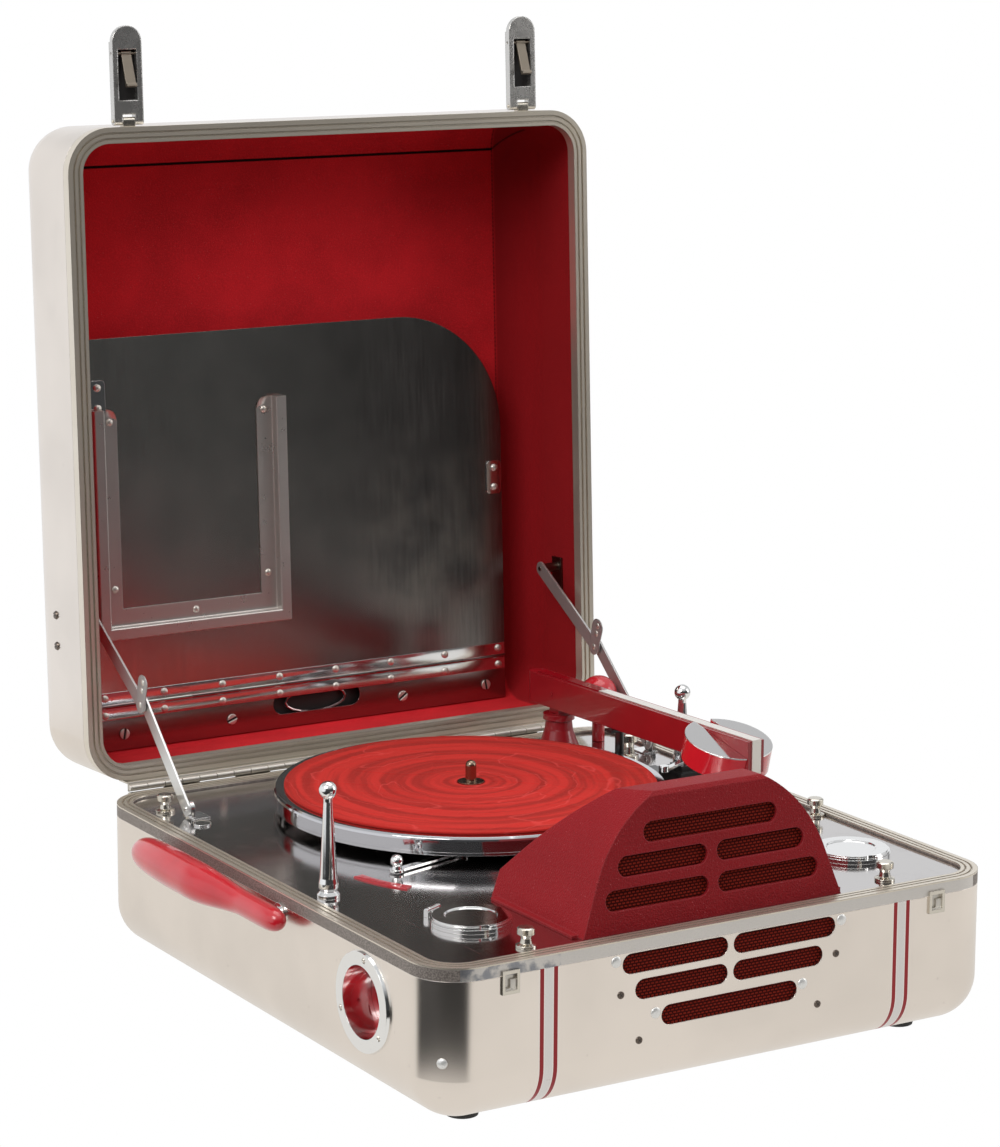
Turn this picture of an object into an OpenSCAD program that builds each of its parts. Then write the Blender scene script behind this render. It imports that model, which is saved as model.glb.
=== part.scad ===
// Portable gramophone in a polished aluminium suitcase, shown with its lid open.
// X runs left to right, Y from front to back, Z up. The origin is the middle of the flat
// underside of the case, and the feet stand below it. Lid pieces are drawn closed and
// swung open on the hinge.

/* [Case] */
// Width of the case
case_w = 400; // [392:2:420]
// Depth of the case from front to back
case_d = 434; // [430:2:450]
// Height of the base without its feet
base_h = 95; // [92:1:110]
// Height of the lid above the base
lid_h = 85; // [84:1:100]
// Radius of the upright corners
corner_r = 30; // [29.5:0.5:36]
// Radius of the bottom and top edges
edge_r = 28; // [22:1:28]
// Thickness of the aluminium shells
wall = 2; // [1.5:0.25:3]
// Height of each rim casting
rim_h = 8; // [7:0.5:10]
// Width of the face of each rim casting
rim_w = 10.5; // [9:0.5:12]
// Gap between the two rims when the lid is closed
lid_gap = 0.3; // [0.2:0.1:1]
// Opening angle of the lid
lid_open = 92.6; // [90:0.2:96]
// Height of the rubber feet
foot_h = 7; // [5:0.5:10]
// Radius of the rubber feet
foot_r = 11; // [8:1:14]
// Thickness of the flocked lining in the lid
lining_t = 1; // [0.6:0.2:1.6]

/* [Deck] */
// Thickness of the deck plate
deck_t = 2; // [1.5:0.25:3]
// Depth of the deck plate's face below the rim
deck_drop = 2; // [1:0.25:3]
// Radius of the platter over its rim
platter_r = 129; // [120:1:131]
// Height of the platter's top above the deck plate
platter_lift = 17; // [15:0.5:20]
// Depth of the platter's rim
platter_rim_h = 12; // [9:0.5:12.5]
// Thickness of the felt mat
mat_t = 2; // [1:0.25:3]
// Radius of the spindle's tip
spindle_r = 3.6; // [3.5:0.05:3.8]
// Height of the spindle above the mat
spindle_up = 14; // [10:1:20]
// Radius of the needle cups
cup_r = 24.5; // [20:0.5:26]
// Radius of the hole for the inlet cup in the left wall
inlet_r = 21.75; // [18:0.25:23]
// Depth of the inlet cup
inlet_depth = 30; // [24:1:36]

/* [Loudspeaker] */
// Radius of the housing's arch
arch_r = 86; // [84:1:90]
// Height of the housing above the rim
arch_h = 77; // [75:0.5:80]
// Depth of the housing from front to back
housing_d = 101; // [95:1:106]
// Thickness of the housing
housing_t = 2.2; // [1.6:0.2:3]
// Backward lean of the housing's face
housing_lean = 6; // [4:0.5:8]
// Height of the grille slots
slot_h = 12.3; // [9:0.1:13]
// Radius of the loudspeaker's frame
speaker_r = 68; // [60:1:69]

/* [Tone arm] */
// Width of the tone arm
arm_w = 13; // [12:0.5:15]
// Depth of the tone arm
arm_h = 21.5; // [20:0.5:22]
// Length from the pivot to the nose
arm_front = 216; // [208:1:218]
// Length from the pivot to the tail
arm_back = 31; // [24:1:31]
// Thickness of the arm's sides
arm_t = 1.5; // [1:0.1:1.8]
// Radius of the pick-up head
head_r = 29; // [26:0.5:30]
// Thickness of the pick-up head
head_h = 16.5; // [14:0.5:17]
// Downward tilt of the pick-up head
head_tilt = 14; // [10:0.5:15]

/* [Lid fittings] */
// Length of each link of the left lid stay
stay_len = 82.75; // [82.4:0.05:83]
// Length of each link of the right lid stay
stay_len_right = 85; // [84.8:0.05:85.4]
// Thickness of the stay links
stay_t = 1.6; // [1.2:0.1:2]
// Thickness of the record plate
plate_t = 1.5; // [1:0.25:2]
// Height of the record plate's free edge above its hinge
plate_up = 253; // [230:1:256]
// Length of the hasps from their pin
hasp_len = 62; // [56:1:66]
// Width of the hasps
hasp_w = 21; // [20:0.5:24]
// Reach of the carrying handle from the wall to its centre line
handle_reach = 33; // [28:1:38]
// Distance between the handle's posts
handle_span = 159; // [140:1:170]
// Radius of the grip at its middle
grip_r = 12; // [10:0.5:13]

/* [Hidden] */
$fn = 64;

// Fits and seats
run_fit = 0.06;
seat = 0.3;
skin = 0.15;

// Colours
aluminium = [0.80, 0.79, 0.77];
chrome = [0.86, 0.87, 0.88];
nickel = [0.72, 0.69, 0.63];
dark_steel = [0.20, 0.20, 0.21];
red_lacquer = [0.68, 0.02, 0.05];
red_crinkle = [0.45, 0.06, 0.08];
red_flock = [0.42, 0.03, 0.04];
red_felt = [0.85, 0.13, 0.08];
red_cloth = [0.25, 0.03, 0.02];
rubber_black = [0.05, 0.05, 0.05];
brassy = [0.55, 0.48, 0.36];
iron_grey = [0.32, 0.33, 0.35];

// Levels and faces of the case
x_side = case_w/2;
y_back = case_d/2;
y_front = -y_back;
z_floor = wall;
z_rim = base_h;
deck_z = z_rim - deck_drop;
deck_under = deck_z - deck_t;
z_lid = z_rim + lid_gap;
rim_lip = 5;
rim_lip_h = rim_h - deck_drop - deck_t;

// Hinge of the lid
hinge_out = 10;
hinge_y = y_back + hinge_out;
hinge_z = z_rim - 6.4;
hinge_pin_r = 1.5;
barrel_r = 3.6;
hinge_len = case_w - 50;
knuckles = 13;
leaf_t = 1.2;
leaf_h = 13;

// Platter and spindle
platter_x = x_side - 201.5;
platter_y = y_back - 142.5;
platter_z = deck_z + platter_lift;
shaft_r = 5;
mat_r = platter_r - 7;
collar_r = 8.8;

// Motor frame under the deck
motor_top = deck_under - 22;
motor_gap = 19;
motor_plate_t = 3;
worm_z = motor_top - motor_plate_t - motor_gap/2;
gear_teeth = 24;
gear_pitch_r = 18;
gear_h = 4;
worm_off = 22.5;
worm_core_r = 3.3;
worm_pitch = 2*PI*gear_pitch_r/gear_teeth;

// Grilles: height of each row from the rim, inner end and outer end of its slots
slot_rows_low = [[-15, 2, 76], [-31.5, 2, 67], [-50, -48.5, 48.5]];
slot_rows_high = [[17.5, 3.3, 76], [36.5, 3.3, 66.4], [54.5, -47.7, 47.7]];
housing_front = y_front + 16.5;
flare_angle = 20;
arch_flat_d = 30;
arch_flat_drop = 4;
arch_rear_h = 14;

// Tone arm
arm_x = platter_x + 132.5;
arm_y = y_back - 42;
arm_turn = 3.4;
arm_top = deck_z + 52.5;
arm_bottom = arm_top - arm_h;
lift_z = arm_bottom + 10;
bell_top = arm_bottom - 4;
yoke_w = arm_w - 2*arm_t - 1.6;
post_r = 5;
head_y = -188;
head_top = arm_top - 4.5;

// Lid stays
stay_x_left = x_side - 28.7;
stay_x_right = x_side - 15.8;
stay_foot_z = z_rim + 4;
stay_foot_left = [y_back - 68, stay_foot_z];
stay_foot_right = [y_back - 74, stay_foot_z];
stay_v = 102.5;
stay_w = 41;
stay_bar = 8;
stay_end_r = 5;
stay_pin_r = 1.6;
rivet_r = 3;

// Record plate in the lid
plate_w = 66;
plate_v = 37;
plate_x0 = 37 - x_side;
plate_x1 = x_side - 35;
plate_curve = 85;
strip_v0 = 6;
strip_v1 = plate_v - 1.5;
plate_barrel_r = 1.8;
plate_pin_r = 0.8;

// Hasps
hasp_x = x_side - 48;
hasp_t = 5.5;
hasp_out = 3.6;
hasp_up = 9;
hasp_pin_r = 1;
lug_w = 8.5;
catch_at = 44;
catch_len = 23;
catch_w = 7;
window_w = 13.5;

// A point of the lid, given by its distance v from the hinged edge and w from the rim,
// as [y, z] with the lid closed and with the lid open
function closed_at(v, w) = [y_back - v, z_lid + w];
function swung(p, a) =
    let (y = p[0] - hinge_y, z = p[1] - hinge_z)
    [hinge_y + y*cos(a) - z*sin(a), hinge_z + y*sin(a) + z*cos(a)];
function open_at(v, w) = swung(closed_at(v, w), -lid_open);

// Where two circles of one radius about p and q meet, on the left of the way from p to q
function elbow(p, q, r) =
    let (d = norm(q - p), m = (p + q)/2, h = sqrt(max(r*r - d*d/4, 0)), n = (q - p)/d)
    m + h*[-n[1], n[0]];

module lid_open_place() {
    translate([0, hinge_y, hinge_z]) rotate([-lid_open, 0, 0])
        translate([0, -hinge_y, -hinge_z]) children();
}

// Shapes shared by several pieces

module round_rect(w, d, r) {
    square([w - 2*r, d], center = true);
    square([w, d - 2*r], center = true);
    for (sx = [-1, 1], sy = [-1, 1]) translate([sx*(w/2 - r), sy*(d/2 - r)]) circle(r);
}

module slot_2d(x0, x1, h) {
    translate([x0 + h/2, -h/2]) square([x1 - x0 - h, h]);
    for (x = [x0 + h/2, x1 - h/2]) translate([x, 0]) circle(h/2);
}

// Cross-section of a tray, round at its two lower edges
module tray_section(w, h, r) {
    translate([-w/2, r]) square([w, h - r]);
    translate([-w/2 + r, 0]) square([w - 2*r, r]);
    for (s = [-1, 1]) translate([s*(w/2 - r), r]) circle(r);
}

// Solid tray with upright corners of radius r and a bottom edge of radius e
module tray(w, d, h, r, e) {
    translate([0, d/2 - r, 0]) rotate([90, 0, 0]) linear_extrude(d - 2*r) tray_section(w, h, e);
    translate([-w/2 + r, 0, 0]) rotate([90, 0, 90]) linear_extrude(w - 2*r) tray_section(d, h, e);
    for (sx = [-1, 1], sy = [-1, 1]) translate([sx*(w/2 - r), sy*(d/2 - r), 0])
        rotate_extrude() intersection() {
            square([r, h]);
            union() {
                translate([0, e]) square([r, h - e]);
                square([r - e, e]);
                translate([r - e, e]) circle(e);
            }
        }
}

module case_half(h) {
    difference() {
        tray(case_w, case_d, h, corner_r, edge_r);
        translate([0, 0, wall])
            tray(case_w - 2*wall, case_d - 2*wall, h, corner_r - wall, edge_r - wall);
    }
}

// Rim casting with its face up at z = 0: outer band, two grooves and a bead between them
module rim_ring() {
    groove_w = 1.1;
    groove_d = 1.4;
    difference() {
        translate([0, 0, -rim_h]) linear_extrude(rim_h) difference() {
            round_rect(case_w, case_d, corner_r);
            round_rect(case_w - 2*rim_w, case_d - 2*rim_w, corner_r - rim_w);
        }
        for (g = [3.4, 7]) translate([0, 0, -groove_d]) linear_extrude(2*groove_d) difference() {
            round_rect(case_w - 2*g, case_d - 2*g, corner_r - g);
            round_rect(case_w - 2*g - 2*groove_w, case_d - 2*g - 2*groove_w, corner_r - g - groove_w);
        }
    }
}

// Tube through a list of points in one plane, which has normal n; rs are its radii
module bent_tube(path, rs, n, sides = 16) {
    last = len(path) - 1;
    function along(i) =
        let (d = path[min(i + 1, last)] - path[max(i - 1, 0)]) d/norm(d);
    ring = [for (i = [0:last]) let (across = cross(n, along(i))) for (k = [0:sides - 1])
        path[i] + rs[i]*(cos(360*k/sides)*across + sin(360*k/sides)*n)];
    skin_faces = [for (i = [0:last - 1], k = [0:sides - 1])
        [i*sides + k, (i + 1)*sides + k, (i + 1)*sides + (k + 1)%sides, i*sides + (k + 1)%sides]];
    ends = [[for (k = [0:sides - 1]) k], [for (k = [0:sides - 1]) (last + 1)*sides - 1 - k]];
    polyhedron(points = ring, faces = concat(skin_faces, ends));
}

// Case of the base

module base_shell() {
    color(aluminium) difference() {
        case_half(base_h - rim_h);
        for (row = slot_rows_low, s = row[1] < 0 ? [1] : [-1, 1])
            translate([0, y_front + 2*wall, z_rim + row[0]]) rotate([90, 0, 0])
                linear_extrude(3*wall) mirror([s < 0 ? 1 : 0, 0]) slot_2d(row[1], row[2], slot_h);
        for (s = [-1, 1]) translate([s*hasp_x - 4, y_front - wall, keeper_z - 5])
            cube([8, 3*wall, 10]);
        translate([-x_side - wall, inlet_y, inlet_z]) rotate([0, 90, 0])
            cylinder(r = inlet_r + 2, h = 3*wall);
        for (y = handle_ys) translate([-x_side - wall, y, handle_z]) rotate([0, 90, 0])
            cylinder(r = post_screw_r + run_fit, h = 3*wall);
        for (c = foot_spots) translate([c[0], c[1], -wall]) cylinder(r = foot_r + seat, h = wall + foot_seat);
    }
}

inlet_y = y_front + 82.5;
inlet_z = z_rim - 39.5;
handle_y = y_front + 263;
handle_z = z_rim - 13;
handle_ys = [handle_y - handle_span/2, handle_y + handle_span/2];
post_screw_r = 2;
keeper_z = z_rim - 12;

module base_rim() {
    color(aluminium) {
        translate([0, 0, z_rim]) rim_ring();
        translate([0, 0, z_rim - rim_h]) linear_extrude(rim_lip_h) difference() {
            round_rect(case_w - 2*rim_w + 1, case_d - 2*rim_w + 1, corner_r - rim_w + 0.5);
            round_rect(case_w - 2*rim_w - 2*rim_lip, case_d - 2*rim_w - 2*rim_lip,
                corner_r - rim_w - rim_lip);
        }
    }
}

foot_seat = 0.5;
foot_spots = [for (sx = [-1, 1], sy = [-1, 1]) [sx*(x_side - 42), sy*(y_back - 42)]];

// Rubber feet, each let into a shallow round seat in the underside
module feet() {
    color(rubber_black) for (c = foot_spots) translate([c[0], c[1], -foot_h])
        cylinder(r1 = foot_r - 1.5, r2 = foot_r, h = foot_h + foot_seat);
}

module deck_plate() {
    gap = seat;
    color(aluminium) translate([0, 0, deck_under]) linear_extrude(deck_t) difference() {
        round_rect(case_w - 2*rim_w - 2*gap, case_d - 2*rim_w - 2*gap, corner_r - rim_w - gap);
        translate([0, housing_front + housing_d/2])
            square([2*arch_r - 22, housing_d - 16], center = true);
        translate([platter_x, platter_y]) circle(bearing_r + seat);
        for (c = cup_spots) translate(c) circle(cup_r - 2.3 + skin);
    }
}

bearing_r = 8;
cup_spots = [[-arch_r - 44, y_front + 79], [x_side - 51, y_front + 81]];
cup_hinge_turn = [116, 136];

// Loudspeaker and its two grilles

// Face of the housing: an arch that spreads to its foot, cut flat on top
module arch_2d(r, top, low) {
    half = r*cos(flare_angle) + (r*sin(flare_angle) - low)*tan(flare_angle);
    intersection() {
        union() {
            circle(r);
            polygon([[-half, low], [half, low], [r*cos(flare_angle), r*sin(flare_angle)],
                [-r*cos(flare_angle), r*sin(flare_angle)]]);
        }
        translate([-1.5*r, low]) square([3*r, top - low]);
    }
}

// Side view of the housing, inset by t on every side but the bottom
module housing_side(t, low) {
    lean = tan(housing_lean);
    fall = (arch_h - arch_flat_drop - arch_rear_h)/(housing_d - lean*arch_h - arch_flat_d);
    bevel = 2.5;
    z1 = arch_h - bevel - t;
    y1 = t + lean*z1;
    y2 = lean*arch_h + arch_flat_d;
    y3 = housing_d - t;
    z2 = arch_h - arch_flat_drop - t*1.2;
    polygon([[t + lean*low, low], [y1, z1], [y1 + bevel, arch_h - t],
        [y2, z2], [y3, z2 - fall*(y3 - y2) - t*0.4], [y3, low]]);
}

module housing_solid(t, low) {
    intersection() {
        translate([0, housing_front, z_rim]) rotate([90, 0, 90])
            translate([0, 0, -case_w/2]) linear_extrude(case_w) housing_side(t, low);
        translate([0, housing_front + housing_d, z_rim]) rotate([90, 0, 0])
            linear_extrude(housing_d) arch_2d(arch_r - t, arch_h, low);
    }
}

// Puts a flat shape, drawn in X and height above the rim, on the leaning face,
// t behind it and h thick
module on_housing_face(t, h) {
    translate([0, housing_front, z_rim]) rotate([-housing_lean, 0, 0])
        translate([0, t + h, 0]) rotate([90, 0, 0]) linear_extrude(h) children();
}

module speaker_housing() {
    color(red_crinkle) {
        difference() {
            housing_solid(0, -deck_drop);
            housing_solid(housing_t, -deck_drop - 1);
            on_housing_face(-4, 12) for (row = slot_rows_high, s = row[1] < 0 ? [1] : [-1, 1])
                mirror([s < 0 ? 1 : 0, 0]) translate([0, row[0]]) slot_2d(row[1], row[2], slot_h);
        }
        for (s = [-1, 1]) translate([s*(arch_r + 7.2) - 3.2, housing_front + 6, deck_z])
            cube([6.4, housing_d - 12, 1.6]);
    }
}

module housing_cloth() {
    color(red_cloth) on_housing_face(housing_t + skin, 1)
        arch_2d(arch_r - housing_t - 5, 66, 6);
}

module front_cloth() {
    color(red_cloth) translate([0, y_front + wall + skin + 1, z_rim - 35]) rotate([90, 0, 0])
        linear_extrude(1) round_rect(170, 50, 6);
}

speaker_y = y_front + 29;
speaker_z = z_rim + 1.5;

// Pressed frame with its baffle, basket and magnet, its axis along Y
module speaker_frame() {
    color(iron_grey) {
        difference() {
            union() {
                translate([0, speaker_y, speaker_z]) rotate([-90, 0, 0])
                    cylinder(r = speaker_r, h = 3);
                translate([-speaker_r - 6, speaker_y, z_floor + skin])
                    cube([2*speaker_r + 12, 3, deck_under - z_floor - 2*skin]);
            }
            translate([0, speaker_y - 1, speaker_z]) rotate([-90, 0, 0])
                cylinder(r = speaker_r - 7, h = 6);
        }
        translate([0, speaker_y + 3, speaker_z]) rotate([-90, 0, 0]) difference() {
            cylinder(r1 = speaker_r - 4, r2 = 26, h = 27);
            translate([0, 0, -0.01]) cylinder(r1 = speaker_r - 6, r2 = 24, h = 25.5);
            translate([0, 0, 20]) cylinder(r = 13, h = 10);
            for (a = [0:60:300]) rotate(a + 30) translate([44, 0, -2])
                cylinder(r = 9, h = 30);
        }
        translate([0, speaker_y + 30, speaker_z]) rotate([-90, 0, 0]) {
            difference() {
                cylinder(r = 29, h = 24);
                translate([0, 0, -1]) cylinder(r = 13, h = 14);
            }
            cylinder(r = 10.5, h = 13);
        }
    }
}

module speaker_cone() {
    color(rubber_black) translate([0, speaker_y + 0.5, speaker_z]) rotate([-90, 0, 0])
        rotate_extrude() polygon([[speaker_r - 7.5, 0], [speaker_r - 7.5, 1.2],
            [speaker_r - 13, 1.2], [12.4, 26], [12.4, 34], [11.6, 34], [11.6, 25],
            [speaker_r - 13, 0]]);
}

// Motor, governor, amplifier

module motor() {
    upper = motor_top - motor_plate_t;
    lower = upper - motor_gap;
    color(iron_grey) translate([platter_x, platter_y, 0]) {
        difference() {
            union() {
                translate([-70, -50, upper]) cube([140, 90, motor_plate_t]);
                translate([-70, -50, lower - motor_plate_t]) cube([140, 90, motor_plate_t]);
                translate([0, 0, upper]) cylinder(r = bearing_r, h = deck_z + 2 - upper);
                for (x = [-62, 62], y = [-42, 32]) translate([x, y, 0]) {
                    translate([0, 0, lower]) cylinder(r = 4, h = motor_gap);
                    translate([0, 0, motor_top]) cylinder(r = 6, h = deck_under - motor_top);
                }
            }
            translate([0, 0, lower - motor_plate_t + 0.8]) cylinder(r = shaft_r + run_fit, h = case_w);
        }
        translate([26, -10, lower - motor_plate_t - 34]) cylinder(r = 32, h = 34);
        translate([26, -10, lower - motor_plate_t - 37]) cylinder(r = 22, h = 3);
        for (x = [-46, 46]) translate([x, -worm_off, lower]) difference() {
            translate([-2, -5, 0]) cube([4, 10, motor_gap]);
            translate([-3, 0, worm_z - lower]) rotate([0, 90, 0])
                cylinder(r = 2 + run_fit, h = 6);
        }
    }
}

// Toothed wheel with straight teeth and wide gaps, so that the worm turns freely
module drive_gear() {
    step = 360/gear_teeth;
    outer = gear_pitch_r + 0.5;
    root = gear_pitch_r - 2;
    linear_extrude(gear_h) difference() {
        union() {
            circle(root);
            for (i = [0:gear_teeth - 1]) rotate((i + 0.5)*step)
                polygon([[root - 1, -1.3], [outer, -0.75], [outer, 0.75], [root - 1, 1.3]]);
        }
        circle(shaft_r);
    }
}

module spindle() {
    top = platter_z + mat_t + spindle_up;
    lower = motor_top - motor_plate_t - motor_gap;
    color(dark_steel) translate([platter_x, platter_y, 0]) {
        translate([0, 0, lower - motor_plate_t + 1])
            cylinder(r = shaft_r, h = platter_z - 8 - lower + motor_plate_t - 1);
        cylinder_between(platter_z - 8, top - spindle_r, spindle_r);
        translate([0, 0, top - spindle_r]) sphere(spindle_r);
        translate([0, 0, platter_z + skin]) cylinder(r = collar_r, h = mat_t);
    }
    color(brassy) translate([platter_x, platter_y, worm_z - gear_h/2]) rotate(-90) drive_gear();
}

module cylinder_between(z0, z1, r) {
    translate([0, 0, z0]) cylinder(r = r, h = z1 - z0);
}

// Worm, shaft, weights and brake disc of the speed governor, along X
module governor() {
    color(brassy) translate([platter_x, platter_y - worm_off, worm_z]) {
        rotate([0, 90, 0]) {
            translate([0, 0, -49]) cylinder(r = 2, h = 98);
            translate([0, 0, 16]) cylinder(r = 5, h = 3);
            translate([0, 0, 36]) cylinder(r = 7.5, h = 2);
            for (a = [0, 120, 240]) rotate(a) translate([5.6, 0, 27]) {
                translate([-0.4, -1.5, -9]) cube([0.8, 3, 18.5]);
                translate([0.4, 0, 0]) sphere(r = 2.4);
            }
        }
        worm(-2.25*worm_pitch, 2.25*worm_pitch);
    }
}

// Worm along X from x0 to x1: rings of points whose radius swells along a helix
module worm(x0, x1) {
    around = 24;
    rings = 36;
    function bump(x, k) = let (t = x/worm_pitch - k/around + 9.5, f = t - floor(t))
        (x - x0 < 0.4 || x1 - x < 0.4) ? 0 : max(0, 1 - 4*abs(f - 0.5));
    pts = [for (i = [0:rings], k = [0:around - 1])
        let (x = x0 + (x1 - x0)*i/rings, r = worm_core_r + 1.5*bump(x, k), a = 360*k/around)
        [x, r*cos(a), r*sin(a)]];
    sides = [for (i = [0:rings - 1], k = [0:around - 1])
        let (a = i*around + k, b = i*around + (k + 1)%around)
        each [[a, a + around, b + around], [a, b + around, b]]];
    ends = [[for (k = [0:around - 1]) k], [for (k = [0:around - 1]) (rings + 1)*around - 1 - k]];
    polyhedron(points = pts, faces = concat(sides, ends));
}

chassis_pos = [x_side - 138, y_front + 122];
chassis_size = [112, 130, 30];

module amplifier_chassis() {
    color(iron_grey) translate([chassis_pos[0], chassis_pos[1], z_floor]) difference() {
        cube(chassis_size);
        translate([1.5, 1.5, -1]) cube(chassis_size - [3, 3, 0.5]);
        for (x = [28, 84], y = [28, 82]) translate([x, y, chassis_size[2] - 5])
            cylinder(r = 10, h = 10);
    }
}

module valves() {
    for (x = [28, 84], y = [28, 82])
        translate([chassis_pos[0] + x, chassis_pos[1] + y, z_floor + chassis_size[2] - 4]) {
            color(rubber_black) {
                cylinder(r = 9.7, h = 12);
                translate([0, 0, 4 + skin]) cylinder(r = 12, h = 2);
            }
            color(chrome) translate([0, 0, 12]) {
                cylinder(r = 9, h = 18);
                translate([0, 0, 18]) sphere(9);
            }
        }
}

module transformer() {
    color(iron_grey) translate([-x_side + 44, y_front + 150, z_floor]) {
        cube([52, 18, 44]);
        translate([6, -14, 8]) cube([40, 46, 28]);
    }
}

// Fittings on the outside of the base

// Bowed grip, fat in the middle and round at both ends
module handle_grip() {
    steps = 24;
    half = handle_span/2 + 9;
    path = [for (i = [0:steps]) let (t = -1 + 2*i/steps, s = sin(90*t))
        [-x_side - 12 - (handle_reach - 12)*pow(cos(90*s*0.98), 0.8), handle_y + half*s, handle_z]];
    rs = [for (i = [0:steps]) let (t = -1 + 2*i/steps, s = abs(sin(90*t)))
        (7.5 + (grip_r - 7.5)*pow(1 - s*s, 0.8))*sqrt(max(1 - pow(s, 18), 0.02))];
    color(red_lacquer) bent_tube(path, rs, [0, 0, 1], 20);
}

module handle_posts() {
    color(chrome) for (y = handle_ys) translate([-x_side, y, handle_z]) rotate([0, -90, 0]) {
        cylinder(r = 6.5, h = 1.6);
        cylinder(r = 4, h = 9.2);
        translate([0, 0, -wall - 2]) cylinder(r = post_screw_r, h = wall + 2);
        translate([0, 0, -wall - 2]) cylinder(r = 4, h = 2);
    }
}

module inlet_cup() {
    color(chrome) translate([-x_side - 2, inlet_y, inlet_z]) rotate([0, 90, 0]) difference() {
        union() {
            cylinder(r1 = inlet_r + 8, r2 = inlet_r + 8.75, h = 2);
            cylinder(r = inlet_r + 1.5, h = inlet_depth);
        }
        translate([0, 0, -1]) cylinder(r = inlet_r, h = inlet_depth - 0.5);
        for (a = [67.5, 187.5, 307.5]) rotate(a) translate([inlet_r + 4.25, 0, -1])
            cylinder(r = 1.9, h = 4);
    }
}

module inlet_socket() {
    depth = 9;
    color(red_lacquer) translate([-x_side - 2 + inlet_depth - 1.5 - depth - skin, inlet_y, inlet_z])
        rotate([0, 90, 0]) difference() {
            cylinder(r = inlet_r - skin, h = depth);
            translate([0, 0, -1]) cylinder(r = inlet_r - 5, h = depth - 2);
            for (s = [-1, 1]) translate([0, 7*s, 0]) cylinder(r = 2.2, h = depth + 1);
        }
}

// Frames that the hasps' catches enter
module keepers() {
    color(nickel) for (s = [-1, 1]) translate([s*hasp_x, y_front, keeper_z]) rotate([90, 0, 0]) {
        linear_extrude(1.4) difference() {
            square([11.5, 14], center = true);
            square([7.8, 9.6], center = true);
        }
    }
}

module screw_head(r, h) {
    difference() {
        cylinder(r1 = r, r2 = 0.75*r, h = h);
        translate([-r, -r*0.14, h*0.55]) cube([2*r, r*0.28, h]);
    }
}

// Screws of the front grille and the stud on the front left corner
module case_screws() {
    color(nickel) for (p = [[80.4, -12.3, 3.4], [52.6, -47.4, 3.4], [77, -32.7, 2.2], [64, -62, 2.2]],
        s = [-1, 1])
        translate([s*p[0], y_front, z_rim + p[1]]) rotate([90, 0, 0]) rotate(30) screw_head(p[2], 1.3);
    color(nickel) translate([-x_side + corner_r, y_front + corner_r, z_rim - 56])
        rotate([0, 0, 225]) translate([corner_r, 0, 0]) rotate([0, 90, 0])
            cylinder(r1 = 4, r2 = 2.4, h = 2.4);
}

// Fittings on the deck

module spool(r, h) {
    rotate_extrude() polygon([[0, 0], [r, 0], [r, 1.6], [0.6*r, 2.6], [0.5*r, 0.45*h],
        [0.6*r, 0.62*h], [0.86*r, 0.66*h], [0.86*r, 0.94*h], [0.7*r, h], [0, h]]);
}

module deck_thumb_screws() {
    spots = [[23 - x_side, y_back - 48], [-127, y_front + 23], [132, y_front + 25],
        [x_side - 17, y_front + 164]];
    color(nickel) for (p = spots) translate([p[0], p[1], deck_z]) spool(6.2, 12);
    color(dark_steel) translate([stop_x + 6, y_back - 82, deck_z]) spool(7, 17);
}

module guard_post(h) {
    neck = 2.75;
    rotate_extrude() polygon([[0, 0], [7, 0], [7, 2], [5.2, 4], [6, 6], [6, 9], [5.4, 12],
        [neck, h - 7], [neck, h - 3], [0, h - 3]]);
    translate([0, 0, h]) sphere(5.5);
}

module guard_posts() {
    color(chrome) {
        translate([23 - x_side, y_front + 166, deck_z]) guard_post(66);
        translate([x_side - 28, y_back - 133, deck_z]) guard_post(55.4);
    }
}

cup_flange_h = 2.5;
cup_pin_r = 0.9;
cup_hinge_out = cup_r + 2.6;
cup_hinge_z = deck_z + cup_flange_h + 1.3;

module needle_cups() {
    color(chrome) for (i = [0, 1]) translate([cup_spots[i][0], cup_spots[i][1], 0]) {
        difference() {
            union() {
                cylinder_between(deck_z, deck_z + cup_flange_h, cup_r);
                cylinder_between(deck_z - 14, deck_z + 1, cup_r - 2.3);
            }
            cylinder_between(deck_z - 12.5, deck_z + 9, cup_r - 4);
        }
        rotate(cup_hinge_turn[i]) translate([cup_hinge_out, 0, 0]) {
            for (s = [-1, 1]) translate([0, s*5.5, 0]) {
                translate([-1.6, -1.2, deck_z]) cube([3.2, 2.4, cup_hinge_z - deck_z]);
                translate([0, 1.2, cup_hinge_z]) rotate([90, 0, 0]) cylinder(r = 1.6, h = 2.4);
            }
            translate([0, 6.7, cup_hinge_z]) rotate([90, 0, 0]) cylinder(r = cup_pin_r, h = 13.4);
        }
    }
}

// Hinged lid of a needle cup: a dished disc with a finger notch and a hinge barrel
module cup_lid(i) {
    low = deck_z + cup_flange_h + skin;
    color(chrome) translate([cup_spots[i][0], cup_spots[i][1], 0]) rotate(cup_hinge_turn[i]) {
        difference() {
            union() {
                cylinder_between(low, low + 1.4, cup_r - 0.4);
                cylinder_between(low + 1.4, low + 2.2, cup_r - 1.4);
                translate([cup_r - 4, -4, low]) cube([cup_hinge_out - cup_r + 4, 8, 1.4]);
                translate([cup_hinge_out, 4, cup_hinge_z]) rotate([90, 0, 0])
                    cylinder(r = 1.7, h = 8);
            }
            translate([0, 0, low + 1.4]) cylinder(r1 = cup_r - 9.5, r2 = cup_r - 7.5, h = 2);
            rotate(cup_notch_turn[i]) translate([cup_r + 2.6, 0, low - 1]) cylinder(r = 5.2, h = 6);
            translate([cup_hinge_out, 5, cup_hinge_z]) rotate([90, 0, 0])
                cylinder(r = cup_pin_r + run_fit, h = 10);
        }
    }
}

cup_notch_turn = [143, 128];

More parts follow.
